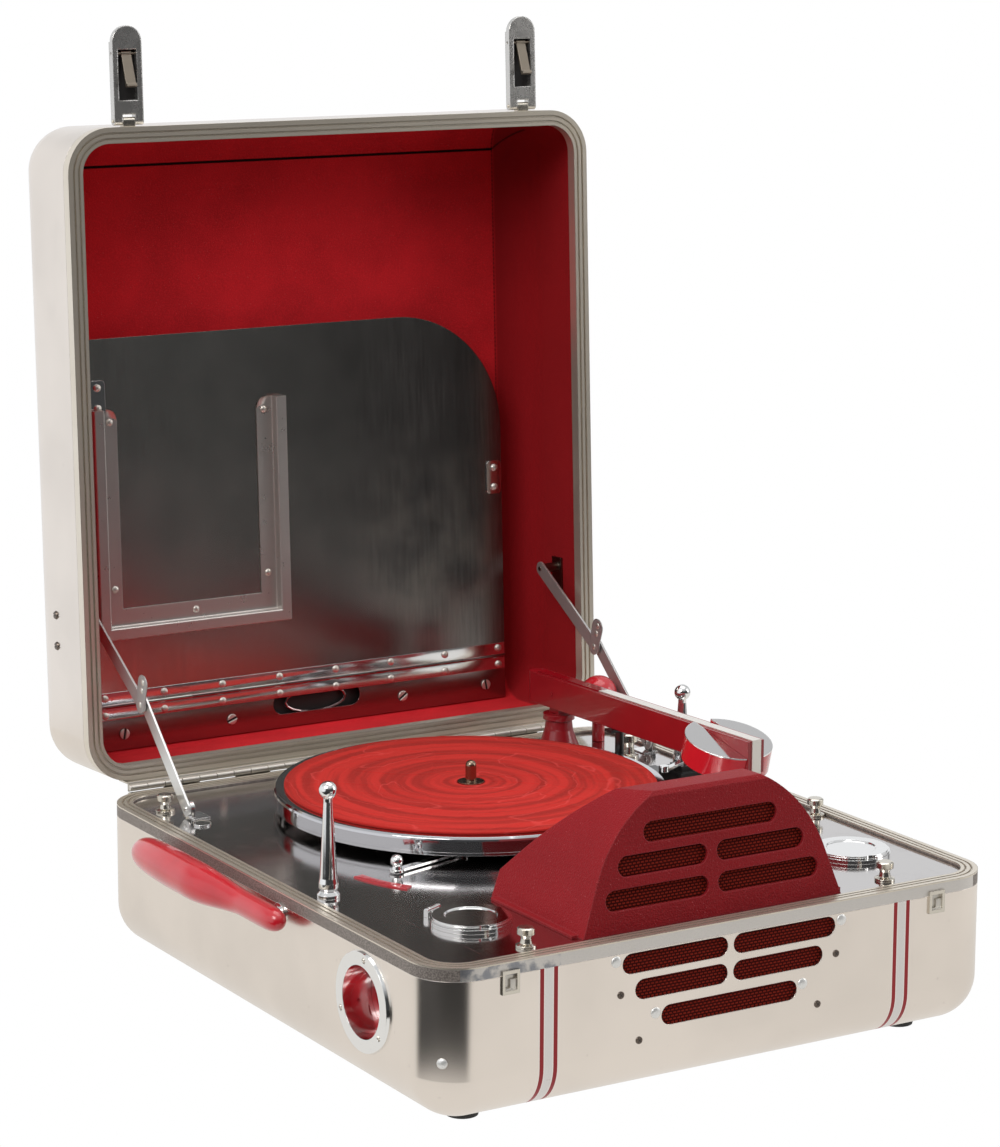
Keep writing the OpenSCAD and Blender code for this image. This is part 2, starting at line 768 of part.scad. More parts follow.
module cup_lid_left() { cup_lid(0); }
module cup_lid_right() { cup_lid(1); }

lever_x = platter_x - 60.5;
lever_y = platter_y - 88;
lever_turn = 195;
lever_len = 56.5;

module speed_scale() {
    color(red_lacquer) translate([lever_x, lever_y, deck_z]) difference() {
        rotate([0, 0, 187]) rotate_extrude(angle = 29) translate([76, 0]) square([7, 0.8]);
        for (i = [0:5]) rotate(190 + 4.5*i) translate([78, -0.4, 0.5]) cube([4, 0.8, 1]);
    }
}

module speed_lever() {
    color(chrome) translate([lever_x, lever_y, deck_z + 0.8]) rotate(lever_turn) {
        difference() {
            union() {
                cylinder(r = 5, h = 1.6);
                translate([0, -2.6, 0]) cube([lever_len, 5.2, 1.6]);
                translate([lever_len, 0, 0]) cylinder(r = 4.4, h = 1.6);
            }
            translate([0, 0, -1]) cylinder(r = 2 + run_fit, h = 4);
        }
        translate([lever_len, 0, 1.6]) {
            cylinder(r1 = 3.2, r2 = 2.4, h = 2.6);
            translate([0, 0, 5.2]) sphere(4);
        }
    }
}

stop_x = x_side - 43;
stop_y = y_back - 154;
rest_y = y_back - 112;

// Chrome base disc with the fixed post that the arm turns on, and the lever's stud
module arm_base() {
    color(chrome) {
        translate([arm_x, arm_y, deck_z]) {
            cylinder(r = 19, h = 1.4);
            cylinder(r = 16, h = 2.2);
            cylinder(r = post_r, h = bell_top - deck_z - 2);
        }
        translate([lever_x, lever_y, deck_z]) {
            cylinder(r = 2, h = 3.4);
            cylinder(r = 4, h = 0.7);
        }
    }
}

// Rest for the arm, and the block of the automatic stop beside the platter
module arm_rest() {
    rest_x = arm_x + (arm_y - rest_y)*tan(arm_turn);
    cradle = arm_bottom - seat;
    color(dark_steel) {
        translate([stop_x - 9, stop_y - 13, deck_z]) cube([18, 26, 9]);
        translate([stop_x - 6, stop_y - 10, deck_z + 9]) cube([12, 14, 4]);
        translate([stop_x - 9, stop_y + 13, deck_z]) cube([15, 26, 1.6]);
    }
    color(chrome) {
        translate([rest_x, rest_y, deck_z]) {
            cylinder(r = 6, h = 2);
            cylinder(r = 3, h = cradle - deck_z - 2);
        }
        translate([rest_x - arm_w/2 - 3, rest_y - 4, cradle - 2]) cube([arm_w + 6, 8, 2]);
        translate([rest_x + arm_w/2 + 1, rest_y - 4, cradle - 2]) cube([2, 8, 12]);
        translate([stop_x, stop_y - 3, deck_z + 13]) cylinder(r = 2, h = 5);
    }
}

module stop_lever() {
    color(chrome) translate([stop_x, stop_y - 3, deck_z + 13 + skin]) rotate(206) {
        difference() {
            union() {
                cylinder(r = 4, h = 2);
                translate([0, -2, 0]) cube([26, 4, 2]);
                translate([26, 0, 0]) cylinder(r = 3.2, h = 4);
            }
            translate([0, 0, -1]) cylinder(r = 2 + run_fit, h = 4);
        }
    }
}

knob_x = x_side - 30;
knob_y = y_back - 33;

module volume_knob() {
    r = 13;
    dome = deck_z + 34;
    color(red_lacquer) translate([knob_x, knob_y, 0]) {
        difference() {
            union() {
                translate([0, 0, dome]) sphere(r);
                cylinder_between(dome - 12, dome, r);
            }
            cylinder_between(dome - 13, dome - 9, r - 2);
        }
    }
    color(chrome) translate([knob_x, knob_y, 0]) cylinder_between(deck_z + 0.2, dome - 9, 4.5);
}

// Platter

module platter() {
    t = 2.5;
    rim_low = platter_z - platter_rim_h;
    color(chrome) translate([platter_x, platter_y, 0]) rotate_extrude() difference() {
        polygon([[spindle_r + run_fit, platter_z], [platter_r - 1.5, platter_z],
            [platter_r - 0.4, platter_z - 1.2], [platter_r, platter_z - 2.5],
            [platter_r, rim_low + 2.2], [platter_r - 1, rim_low + 2.2], [platter_r - 1, rim_low],
            [platter_r - 4, rim_low], [platter_r - 4, platter_z - t], [16, platter_z - t],
            [13, platter_z - 8 + skin], [spindle_r + run_fit, platter_z - 8 + skin]]);
    }
}

module turntable_mat() {
    color(red_felt) translate([platter_x, platter_y, platter_z + skin]) difference() {
        cylinder(r = mat_r, h = mat_t - skin);
        translate([0, 0, -1]) cylinder(r = collar_r + 0.4, h = mat_t + 2);
    }
}

// Tone arm. It is drawn pointing to -Y from its pivot, then turned to its rest

module arm_place() {
    translate([arm_x, arm_y, 0]) rotate(arm_turn) children();
}

module arm_pedestal() {
    low = deck_z + 2.6;
    yoke_l = 11;
    pin_len = arm_w + 1;
    color(red_lacquer) translate([arm_x, arm_y, 0]) rotate_extrude() polygon([
        [post_r + run_fit, low], [14, low], [14, low + 2], [12.2, low + 6], [10, low + 13],
        [9.2, bell_top - 5], [11, bell_top - 4], [11, bell_top], [post_r + run_fit, bell_top]]);
    color(dark_steel) arm_place() {
        translate([-yoke_w/2, -yoke_l/2, bell_top]) cube([yoke_w, yoke_l, lift_z - bell_top + 4]);
        translate([-pin_len/2, 0, lift_z]) rotate([0, 90, 0]) cylinder(r = 1.5, h = pin_len);
    }
}

// Inverted channel, open below, with a rounded tail and a deeper nose
module arm_outline(inset) {
    hw = arm_w/2 - inset;
    translate([-hw, -arm_front + inset]) square([2*hw, arm_front + arm_back - hw - 2*inset]);
    translate([0, arm_back - inset - hw]) circle(hw);
}

module tone_arm() {
    color(red_lacquer) arm_place() {
        difference() {
            translate([0, 0, arm_bottom]) linear_extrude(arm_h) arm_outline(0);
            translate([0, 0, arm_bottom - 1]) linear_extrude(arm_h - arm_t + 1) arm_outline(arm_t);
            translate([-arm_w, 0, lift_z]) rotate([0, 90, 0])
                cylinder(r = 1.5 + run_fit, h = 2*arm_w);
        }
    }
}

module arm_inlay() {
    w = arm_w*0.56;
    t = 0.8;
    color(chrome) arm_place() {
        translate([-w/2, -arm_front - t, arm_top]) cube([w, arm_front + arm_back - 10, t]);
        translate([-w/2, -arm_front - t, arm_bottom - 1.5]) cube([w, t, arm_h + 1.5]);
    }
}

// Round pick-up head under the nose, let in round the arm
module pickup_head() {
    color(red_lacquer) arm_place() difference() {
        translate([0, head_y, head_top]) rotate([head_tilt, 0, 0])
            translate([0, 0, -head_h]) cylinder(r = head_r, h = head_h);
        translate([-arm_w/2 - skin, -case_d, arm_bottom - skin]) cube([arm_w + 2*skin, 2*case_d, 40]);
        translate([-arm_w/2 - skin, -arm_front - 20, arm_bottom - 1.5 - skin])
            cube([arm_w + 2*skin, 20 + skin, 40]);
    }
}

module needle() {
    tip_y = head_y - head_r + 11;
    color(chrome) arm_place() translate([0, tip_y, deck_z + 21.5]) rotate([-25, 0, 0]) {
        cylinder(r1 = 0.3, r2 = 0.8, h = 3);
        translate([0, 0, 2.4]) cylinder(r = 1.5, h = 2.1);
        translate([0, 0, 3.5]) rotate([0, 90, 0]) cylinder(r = 0.9, h = 9);
        translate([8, 0, 3.5]) rotate([0, 90, 0]) cylinder(r = 1.4, h = 3);
    }
}

// Lid hinge

pitch = hinge_len/knuckles;

module hinge_leaf(first, up) {
    z_web = up > 0 ? hinge_z + barrel_r - leaf_t : hinge_z - barrel_r;
    difference() {
        union() {
            for (i = [first:2:knuckles - 1])
                translate([-hinge_len/2 + i*pitch + 0.2, hinge_y, hinge_z]) {
                    rotate([0, 90, 0]) cylinder(r = barrel_r, h = pitch - 0.4);
                    translate([0, -hinge_out + leaf_t/2, z_web - hinge_z])
                        cube([pitch - 0.4, hinge_out - leaf_t/2, leaf_t]);
                }
            translate([-hinge_len/2, y_back, up > 0 ? z_web : z_web + leaf_t - leaf_h])
                cube([hinge_len, leaf_t, leaf_h]);
        }
        translate([-hinge_len, hinge_y, hinge_z]) rotate([0, 90, 0])
            cylinder(r = hinge_pin_r + run_fit, h = 2*hinge_len);
    }
}

module hinge_base_leaf() {
    color(nickel) hinge_leaf(0, -1);
}

module hinge_pin() {
    color(nickel) translate([-hinge_len/2, hinge_y, hinge_z]) rotate([0, 90, 0])
        cylinder(r = hinge_pin_r, h = hinge_len);
}

module hinge_lid_leaf() {
    color(nickel) lid_open_place() hinge_leaf(1, 1);
}

// Lid

module lid_shell() {
    color(aluminium) lid_open_place()
        translate([0, 0, z_lid + lid_h]) mirror([0, 0, 1]) case_half(lid_h - rim_h);
}

module lid_rim() {
    color(aluminium) lid_open_place() translate([0, 0, z_lid]) mirror([0, 0, 1]) rim_ring();
}

module lid_lining() {
    out = wall + skin;
    in = out + lining_t;
    h = lid_h - rim_h - wall - skin;
    color(red_flock) lid_open_place() translate([0, 0, z_lid + lid_h - out]) mirror([0, 0, 1])
        difference() {
            tray(case_w - 2*out, case_d - 2*out, h, corner_r - out, edge_r - out);
            translate([0, 0, lining_t])
                tray(case_w - 2*in, case_d - 2*in, h, corner_r - in, edge_r - in);
        }
}

// Draws on the lid's inner face: X and v in the plane, w from the rim, t thick towards the back
module lid_face(w, t) {
    lid_open_place() translate([0, y_back, z_lid + w]) mirror([0, 1, 0]) linear_extrude(t) children();
}

plate_axis_w = plate_w + plate_t/2;
plate_knuckles = 9;
plate_pitch = (plate_x1 - plate_x0)/plate_knuckles;
rivet_step = (plate_x1 - plate_x0 - 12)/7;

module plate_barrels(first) {
    lid_open_place() for (i = [first:2:plate_knuckles - 1])
        translate([plate_x0 + i*plate_pitch + 0.2, closed_at(plate_v, 0)[0], z_lid + plate_axis_w])
            rotate([0, 90, 0]) difference() {
                cylinder(r = plate_barrel_r, h = plate_pitch - 0.4);
                translate([0, 0, -1]) cylinder(r = plate_pin_r + run_fit, h = plate_pitch + 2);
            }
}

// Parts of a leaf between its edge and the barrels that carry it
module plate_tongues(first, v0, v1) {
    lid_face(plate_w, plate_t) for (i = [first:2:plate_knuckles - 1])
        translate([plate_x0 + i*plate_pitch + 0.2, v0]) square([plate_pitch - 0.4, v1 - v0]);
}

module plate_rivets(v) {
    lid_face(plate_w - 1, 1 + skin) for (i = [0:7])
        translate([plate_x0 + 6 + i*rivet_step, v]) circle(2.3);
}

module plate_strip() {
    mid = plate_v - 14;
    color(aluminium) {
        lid_face(plate_w, plate_t) difference() {
            translate([plate_x0, strip_v0]) square([plate_x1 - plate_x0, strip_v1 - strip_v0 - 1.5]);
            translate([0, mid]) slot_2d(-27, 43, 15);
        }
        plate_tongues(0, strip_v1 - 2, plate_v - plate_pin_r - 0.3);
        plate_barrels(0);
        plate_rivets(plate_v - 6);
        for (x = [plate_x0 + 20, plate_x0 + 103, plate_x1 - 87, plate_x1 - 17])
            lid_face(plate_w + plate_t - skin, 10) translate([x, 17]) circle(3.5);
    }
    color(chrome) {
        lid_open_place() translate([plate_x0, closed_at(plate_v, 0)[0], z_lid + plate_axis_w])
            rotate([0, 90, 0]) cylinder(r = plate_pin_r, h = plate_x1 - plate_x0);
        lid_open_place() translate([8, closed_at(mid, 0)[0], z_lid + plate_w + plate_t + 1.1 + skin])
            bent_tube([for (a = [0:20:360]) [24*cos(a), 8.6*sin(a), 0]],
                [for (a = [0:20:360]) 1.1], [0, 0, 1], 8);
    }
}

module record_plate() {
    top = plate_v + plate_up;
    color(aluminium) {
        lid_face(plate_w, plate_t) {
            difference() {
                union() {
                    translate([plate_x0, plate_v + 2.2])
                        square([plate_x1 - plate_curve - plate_x0, plate_up - 2.2]);
                    translate([plate_x0, plate_v + 2.2])
                        square([plate_x1 - plate_x0, plate_up - plate_curve - 2.2]);
                    translate([plate_x1 - plate_curve, top - plate_curve]) circle(plate_curve);
                }
            }
        }
        plate_tongues(1, plate_v + plate_pin_r + 0.3, plate_v + 3);
        plate_barrels(1);
        plate_rivets(plate_v + 6);
    }
}

channel_x0 = plate_x0 + 14;
channel_x1 = plate_x0 + 149;
channel_v0 = 86;
channel_v1 = 242;

// Holder of pressed strip on the record plate: flat flange inside, raised wall outside
module plate_channel() {
    flange = 10;
    proud = 8;
    t = 1.2;
    wide = channel_x1 - channel_x0;
    high = channel_v1 - channel_v0;
    color(chrome) {
        lid_face(plate_w - t, t) difference() {
            translate([channel_x0, channel_v0]) square([wide, high]);
            translate([channel_x0 + flange, channel_v0 + flange]) square([wide - 2*flange, high]);
        }
        lid_face(plate_w - proud, proud) difference() {
            translate([channel_x0, channel_v0]) square([wide, high]);
            translate([channel_x0 + t, channel_v0 + t]) square([wide - 2*t, high]);
        }
        lid_face(plate_w - proud, t) difference() {
            translate([channel_x0, channel_v0]) square([wide, high]);
            translate([channel_x0 + 4, channel_v0 + 4]) square([wide - 8, high]);
        }
        lid_face(plate_w - t - 1, 1 + skin) for (p = [[channel_x0 + 7, channel_v1 - 6],
            [channel_x1 - 7, channel_v1 - 6], [channel_x0 + 7, channel_v0 + 22],
            [channel_x1 - 7, channel_v0 + 22], [(channel_x0 + channel_x1)/2, channel_v0 + 7]])
            translate(p) circle(2.1);
    }
}

module plate_clips() {
    spots = [[plate_x1 - 7, 169], [plate_x0 + 8, 250]];
    color(chrome) for (p = spots) {
        lid_face(plate_w - 1, 1) translate(p) round_rect(12, 24, 3);
        lid_face(plate_w - 2, 1 + skin) for (s = [-1, 1]) translate([p[0], p[1] + 7*s]) circle(2.4);
    }
}

// Hasps: lugs on the lid's front wall, hasp bodies and their catches

hasp_y = y_front - hasp_out;
hasp_z = z_lid + hasp_up;

module hasp_lugs() {
    color(nickel) lid_open_place() for (s = [-1, 1]) translate([s*hasp_x, 0, 0]) {
        difference() {
            union() {
                translate([-lug_w/2, hasp_y, hasp_z - 2.6]) cube([lug_w, hasp_out, 5.2]);
                translate([-lug_w/2, hasp_y, hasp_z]) rotate([0, 90, 0]) cylinder(r = 2.6, h = lug_w);
            }
            translate([-lug_w, hasp_y, hasp_z]) rotate([0, 90, 0]) cylinder(r = hasp_pin_r, h = 2*lug_w);
        }
        translate([-hasp_w/2 - 0.8, hasp_y, hasp_z]) rotate([0, 90, 0])
            cylinder(r = hasp_pin_r, h = hasp_w + 1.6);
    }
}

// Hasp as it stands with the lid closed and unlatched: along -Y from its pin
module hasp(s) {
    half = hasp_t/2;
    lid_open_place() translate([s*hasp_x, hasp_y, hasp_z]) {
        difference() {
            union() {
                translate([-hasp_w/2, -hasp_len + hasp_w/2, -half])
                    cube([hasp_w, hasp_len - hasp_w/2, hasp_t]);
                translate([-hasp_w/2, 0, 0]) rotate([0, 90, 0]) cylinder(r = half, h = hasp_w);
                translate([0, -hasp_len + hasp_w/2, 0]) intersection() {
                    translate([0, 0, -half]) cylinder(r = hasp_w/2, h = hasp_t);
                    translate([0, 0, -half]) sphere(hasp_w/2 + 0.6);
                }
            }
            translate([-window_w/2, -46.5, -hasp_t]) cube([window_w, 33, 2*hasp_t]);
            translate([-lug_w/2 - 0.3, -4.2, -hasp_t]) cube([lug_w + 0.6, 10, 2*hasp_t]);
            translate([-hasp_w, 0, 0]) rotate([0, 90, 0])
                cylinder(r = hasp_pin_r + run_fit, h = 2*hasp_w);
            translate([-hasp_w, -catch_at, 0]) rotate([0, 90, 0])
                cylinder(r = 0.9, h = 2*hasp_w);
        }
    }
}

// Catch in the window: it leans out on the side that faces the case when latched
module hasp_catch(s) {
    lid_open_place() translate([s*hasp_x, hasp_y - catch_at, hasp_z]) {
        translate([-hasp_w/2 + 1, 0, 0]) rotate([0, 90, 0])
            cylinder(r = 0.9 - run_fit, h = hasp_w - 2);
        rotate([-18, 0, 0]) {
            translate([-catch_w/2, 0, -0.9]) cube([catch_w, catch_len, 1.8]);
            translate([-catch_w/2, 0, 0]) rotate([0, 90, 0]) cylinder(r = 1.6, h = catch_w);
            translate([-catch_w/2, catch_len - 2, -2.4]) cube([catch_w, 2, 2]);
        }
    }
}

module hasp_left() { color(chrome) hasp(-1); }
module hasp_right() { color(chrome) hasp(1); }
module hasp_catch_left() { color(brassy) hasp_catch(-1); }
module hasp_catch_right() { color(brassy) hasp_catch(1); }

// Lid stays

stay_head = open_at(stay_v, stay_w);
stay_step = stay_t + 2*seat;
function stay_foot(s) = s > 0 ? stay_foot_right : stay_foot_left;
function stay_reach(s) = s > 0 ? stay_len_right : stay_len;
function stay_elbow(s) = elbow(stay_foot(s), stay_head, stay_reach(s));

// Flat link from a to b, both [y, z], with its inner face at x and a hole at a
module link(x, a, b, hole_r) {
    dir = atan2(b[1] - a[1], b[0] - a[0]);
    translate([x, a[0], a[1]]) rotate([dir, 0, 0]) rotate([90, 0, 90]) linear_extrude(stay_t)
        difference() {
            union() {
                translate([0, -stay_bar/2]) square([norm(b - a), stay_bar]);
                circle(stay_end_r);
                translate([norm(b - a), 0]) circle(stay_end_r);
                children();
            }
            circle(hole_r);
        }
}

// Draws the children on side s with one face of the lower link at their x = 0 and the upper
// link beyond its other face, which is the left one on both sides
module stay_side(s) {
    translate([(s > 0 ? stay_x_right : -stay_x_left) + stay_t/2, 0, 0]) mirror([1, 0, 0]) children();
}

module across(p, r, h) {
    translate([0, p[0], p[1]]) rotate([0, 90, 0]) cylinder(r = r, h = h);
}

// Each link carries its own half of the elbow's rivet, and the halves meet at half the gap
module stay_lower(s) {
    color(aluminium) stay_side(s) {
        link(0, stay_foot(s), stay_elbow(s), stay_pin_r + run_fit);
        translate([-1, 0, 0]) across(stay_elbow(s), rivet_r, 1 + seat);
        translate([stay_t - seat, 0, 0]) across(stay_elbow(s), stay_pin_r, 2*seat - skin/2);
    }
}

// The upper link ends in a finger lobe beyond the elbow
module stay_upper(s) {
    color(aluminium) stay_side(s) {
        link(stay_step, stay_head, stay_elbow(s), stay_pin_r + run_fit)
            translate([stay_reach(s) - 2, 0]) {
                translate([-4.5, -12]) square([9, 12]);
                translate([0, -12]) circle(4.5);
            }
        translate([stay_step - seat + skin/2, 0, 0]) across(stay_elbow(s), stay_pin_r, 2*seat);
        translate([stay_step + stay_t - seat, 0, 0]) across(stay_elbow(s), rivet_r, 0.8 + seat);
    }
}

module stay_lower_left() { stay_lower(-1); }
module stay_lower_right() { stay_lower(1); }
module stay_upper_left() { stay_upper(-1); }
module stay_upper_right() { stay_upper(1); }

// Brackets on the deck, each on the inner side of its link, and a round boss on the left
module stay_feet() {
    base_w = 12;
    color(chrome) for (s = [-1, 1]) stay_side(s) {
        foot = stay_foot(s);
        translate([-seat - 2.6, foot[0] - 5, deck_z]) cube([2.6, 10, foot[1] - deck_z]);
        translate([-seat - 2.6, 0, 0]) across(foot, 5, 2.6);
        translate([-seat - 1, 0, 0]) across(foot, stay_pin_r, stay_t + seat + 1.8);
        translate([-seat - (s > 0 ? 2.6 : base_w), foot[0] - 8, deck_z]) cube([base_w, 16, 0.8]);
    }
    color(chrome) translate([1 - stay_x_left, stay_foot_left[0] - 20, deck_z])
        cylinder(r = 5.5, h = 1.2);
}

module stay_studs() {
    wall_x = x_side - wall - skin - lining_t - skin;
    color(chrome) lid_open_place() for (s = [-1, 1]) {
        head = closed_at(stay_v, stay_w);
        face = s > 0 ? stay_x_right + stay_t/2 - stay_step : stay_x_left + stay_t/2 + stay_step;
        mirror([s > 0 ? 0 : 1, 0, 0]) {
            translate([wall_x - 1.5, head[0] - 7, head[1] - 6]) cube([1.5, 26, 12]);
            translate([face + skin, 0, 0]) across(head, 3.4, wall_x - 1 - face - skin);
            translate([face - stay_t - 0.8, 0, 0]) across(head, stay_pin_r, stay_t + 1 + skin);
        }
        mirror([s > 0 ? 0 : 1, 0, 0]) for (v = [109, 88])
            translate([x_side, closed_at(v, 0)[0], z_lid + 45]) rotate([0, 90, 0]) screw_head(3, 1.2);
    }
}

base_shell();
base_rim();
feet();
deck_plate();
speaker_housing();
housing_cloth();
front_cloth();
speaker_frame();
speaker_cone();
motor();
amplifier_chassis();
valves();
transformer();
handle_grip();
handle_posts();
inlet_cup();
inlet_socket();
keepers();
case_screws();
deck_thumb_screws();
guard_posts();
needle_cups();
speed_scale();
arm_base();
arm_rest();
hinge_base_leaf();
hinge_pin();
stay_feet();
platter();
turntable_mat();
spindle();
governor();
arm_pedestal();
tone_arm();
arm_inlay();
pickup_head();
needle();
volume_knob();
speed_lever();
stop_lever();
cup_lid_left();
cup_lid_right();
lid_shell();
lid_rim();
lid_lining();
hinge_lid_leaf();
plate_strip();
hasp_lugs();
stay_studs();
record_plate();
plate_channel();
plate_clips();
hasp_left();
hasp_right();
hasp_catch_left();
hasp_catch_right();
stay_lower_left();
stay_lower_right();
stay_upper_left();
stay_upper_right();
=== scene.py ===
"""Portable gramophone in an aluminium suitcase: finishes, fine pieces, light and camera."""
import math

import bpy
import numpy as np
from bpy.props import FloatProperty, FloatVectorProperty, PointerProperty
from mathutils import Matrix, Vector


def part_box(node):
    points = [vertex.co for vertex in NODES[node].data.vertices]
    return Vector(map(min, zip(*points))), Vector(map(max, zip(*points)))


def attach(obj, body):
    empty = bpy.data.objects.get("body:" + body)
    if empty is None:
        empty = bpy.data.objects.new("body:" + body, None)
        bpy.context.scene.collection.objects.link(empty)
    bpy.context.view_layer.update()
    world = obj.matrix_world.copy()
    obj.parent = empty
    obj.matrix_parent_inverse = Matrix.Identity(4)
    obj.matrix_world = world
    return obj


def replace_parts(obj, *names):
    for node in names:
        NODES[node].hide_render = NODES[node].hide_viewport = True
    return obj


bl_info = {
    "name": "Portable gramophone",
    "version": (1, 0, 0),
    "blender": (4, 2, 0),
    "location": "View3D > Sidebar > Gramophone",
    "description": "Dresses the packed gramophone with finishes, fine pieces, light and a camera",
    "category": "Object",
}

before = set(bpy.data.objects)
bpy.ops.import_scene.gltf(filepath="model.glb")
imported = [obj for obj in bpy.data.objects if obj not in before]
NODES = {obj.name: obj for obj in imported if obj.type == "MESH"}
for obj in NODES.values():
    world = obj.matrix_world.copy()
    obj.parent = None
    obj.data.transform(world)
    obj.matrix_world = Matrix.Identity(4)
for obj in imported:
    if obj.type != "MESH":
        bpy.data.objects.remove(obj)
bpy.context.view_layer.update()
MM = 0.001

# Places on the object, in millimetres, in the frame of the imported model
PLATTER = (-1.5, 74.5)
DECK_Z = 93.0
FRONT_Y = -216.2
STRIPE_X = 125.95
KEEPER_X = 152.0
HINGE = (227.0, 88.6)
HINGE_HALF = 174.9
LID_OPEN = 92.6
LID_BACK = 217.0
LID_Z = 95.3
PLATE_W = 66.0
ARM = (131.0, 175.0)
ARM_TURN = 3.4
HEAD_REACH = 188.0
HEAD_TOP = 141.0

# The size of the photograph, in pixels
PICTURE = (1000, 1147)


def corner(node, low=True):
    """One corner of a CAD node's box, in millimetres."""
    return np.array(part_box(node)[0 if low else 1]) / MM


def lid_point(x, v, w):
    """Points of the open lid, in millimetres: x across, v up from the hinged edge, w in from the rim."""
    a = math.radians(-LID_OPEN)
    y = LID_BACK - np.asarray(v, float) - HINGE[0]
    z = LID_Z + np.asarray(w, float) - HINGE[1]
    x, y, z = np.broadcast_arrays(np.asarray(x, float), y, z)
    return np.stack([x, HINGE[0] + y * math.cos(a) - z * math.sin(a),
                     HINGE[1] + y * math.sin(a) + z * math.cos(a)], axis=-1)


# Meshes from arrays


def add(name, data):
    """A new object in the scene that holds this mesh, light or camera."""
    obj = bpy.data.objects.new(name, data)
    bpy.context.scene.collection.objects.link(obj)
    return obj


def linked(name, points, faces):
    """A new object from points in millimetres and faces of any size."""
    mesh = bpy.data.meshes.new(name)
    mesh.from_pydata((np.asarray(points).reshape(-1, 3) * MM).tolist(), [], faces)
    return add(name, mesh)


def smooth(obj):
    """Smooth shading all over."""
    obj.data.polygons.foreach_set("use_smooth", np.ones(len(obj.data.polygons), bool))
    return obj


def smooth_by_angle(obj, limit=35.0):
    """Smooth shading that keeps edges sharper than the limit, in degrees."""
    smooth(obj).data.set_sharp_from_angle(angle=math.radians(limit))
    return obj


def mesh_object(name, points, faces):
    """A smooth object from points in millimetres and quads or triangles."""
    obj = linked(name, points, np.asarray(faces).tolist())
    obj.data.validate()
    obj.data.update()
    return smooth(obj)


def joined(name, *objs):
    """One object from several."""
    keep = objs[0]
    with bpy.context.temp_override(active_object=keep, selected_editable_objects=list(objs)):
        bpy.ops.object.join()
    keep.name = name
    return keep


def grid_faces(rows, cols, wrap_rows=False, wrap_cols=False):
    """Quads between neighbours of a rows by cols grid, joined round where asked."""
    r = np.arange(rows if wrap_rows else rows - 1)
    c = np.arange(cols if wrap_cols else cols - 1)
    r, c = np.meshgrid(r, c, indexing="ij")
    r1, c1 = (r + 1) % rows, (c + 1) % cols
    return np.stack([r * cols + c, r1 * cols + c, r1 * cols + c1, r * cols + c1], axis=-1).reshape(-1, 4)


def turned_solid(name, profile, centre, around=40):
    """A profile of (radius, height) rows, from the axis to the axis, carried round the upright axis."""
    a = np.linspace(0, 2 * np.pi, around, endpoint=False)
    r, z = np.asarray(profile, float).T
    up = np.repeat(z[:, None], around, 1)
    grid = np.stack([np.outer(r, np.cos(a)), np.outer(r, np.sin(a)), up], axis=-1)
    return mesh_object(name, grid + centre, grid_faces(len(profile), around, wrap_cols=True)[:, ::-1])


def dome_heads(name, centres, up, radius, height, around=20):
    """Round rivet heads: at each centre a cap that stands height * sqrt(1 - s^2) high at s of its radius."""
    s = np.array([1.0, 0.97, 0.85, 0.6, 0.35, 0.02])
    curve = np.sqrt(1 - (s * 0.98) ** 2)
    h = height * curve / curve[-1]
    h[0] = -0.2 * height
    up = np.asarray(up, float) / np.linalg.norm(up)
    side = np.cross(up, [1.0, 0.3, 0.2])
    side /= np.linalg.norm(side)
    other = np.cross(up, side)
    a = np.linspace(0, 2 * np.pi, around, endpoint=False)
    ring = np.cos(a)[:, None] * side + np.sin(a)[:, None] * other
    cap = s[:, None, None] * radius * ring[None] + h[:, None, None] * up
    points, faces = [], []
    one = grid_faces(len(s), around, wrap_cols=True)
    for i, centre in enumerate(np.atleast_2d(centres)):
        points.append(cap.reshape(-1, 3) + centre)
        faces.append(one + i * len(s) * around)
    return mesh_object(name, np.concatenate(points), np.concatenate(faces))


def outline_solid(name, ring, low, high, place, soft=0.4):
    """A flat piece: an outline of (a, b) points raised from low to high, its upper edge rounded over soft.
    Each row of points is the outline drawn in toward its middle by soft * (1 - cos) while rising by sin;
    place moves (a, b, height)."""
    ring = np.asarray(ring, float)
    ahead, behind = np.roll(ring, -1, 0), np.roll(ring, 1, 0)
    run = ahead - behind
    run /= np.maximum(np.linalg.norm(run, axis=1, keepdims=True), 1e-9)
    inward = np.stack([-run[:, 1], run[:, 0]], axis=1)
    bend = np.linspace(0, np.pi / 2, 5)
    rows = [np.column_stack([ring, np.full(len(ring), low)])]
    for b in bend:
        rows.append(np.column_stack([ring + inward * soft * (1 - math.cos(b)),
                                     np.full(len(ring), high - soft + soft * math.sin(b))]))
    grid = np.stack(rows)
    n = len(ring)
    faces = [list(f) for f in grid_faces(len(rows), n, wrap_cols=True)[:, ::-1]]
    faces.append(list(range(n))[::-1])
    faces.append(list(range((len(rows) - 1) * n, len(rows) * n)))
    return smooth_by_angle(linked(name, place(*grid.reshape(-1, 3).T), faces))


def rounded_rect(a0, b0, a1, b1, r, steps=6):
    """The outline of a rectangle with round corners, anticlockwise."""
    ring = []
    centres = ((a1 - r, b0 + r), (a1 - r, b1 - r), (a0 + r, b1 - r), (a0 + r, b0 + r))
    for (ca, cb), start in zip(centres, (-90, 0, 90, 180)):
        for k in range(steps + 1):
            t = math.radians(start + 90 * k / steps)
            ring.append((ca + r * math.cos(t), cb + r * math.sin(t)))
    return ring


def disc(a, b, radius):
    """The outline of a disc round (a, b), anticlockwise."""
    t = np.radians(np.arange(0, 360, 15))
    return np.column_stack([a + radius * np.cos(t), b + radius * np.sin(t)])


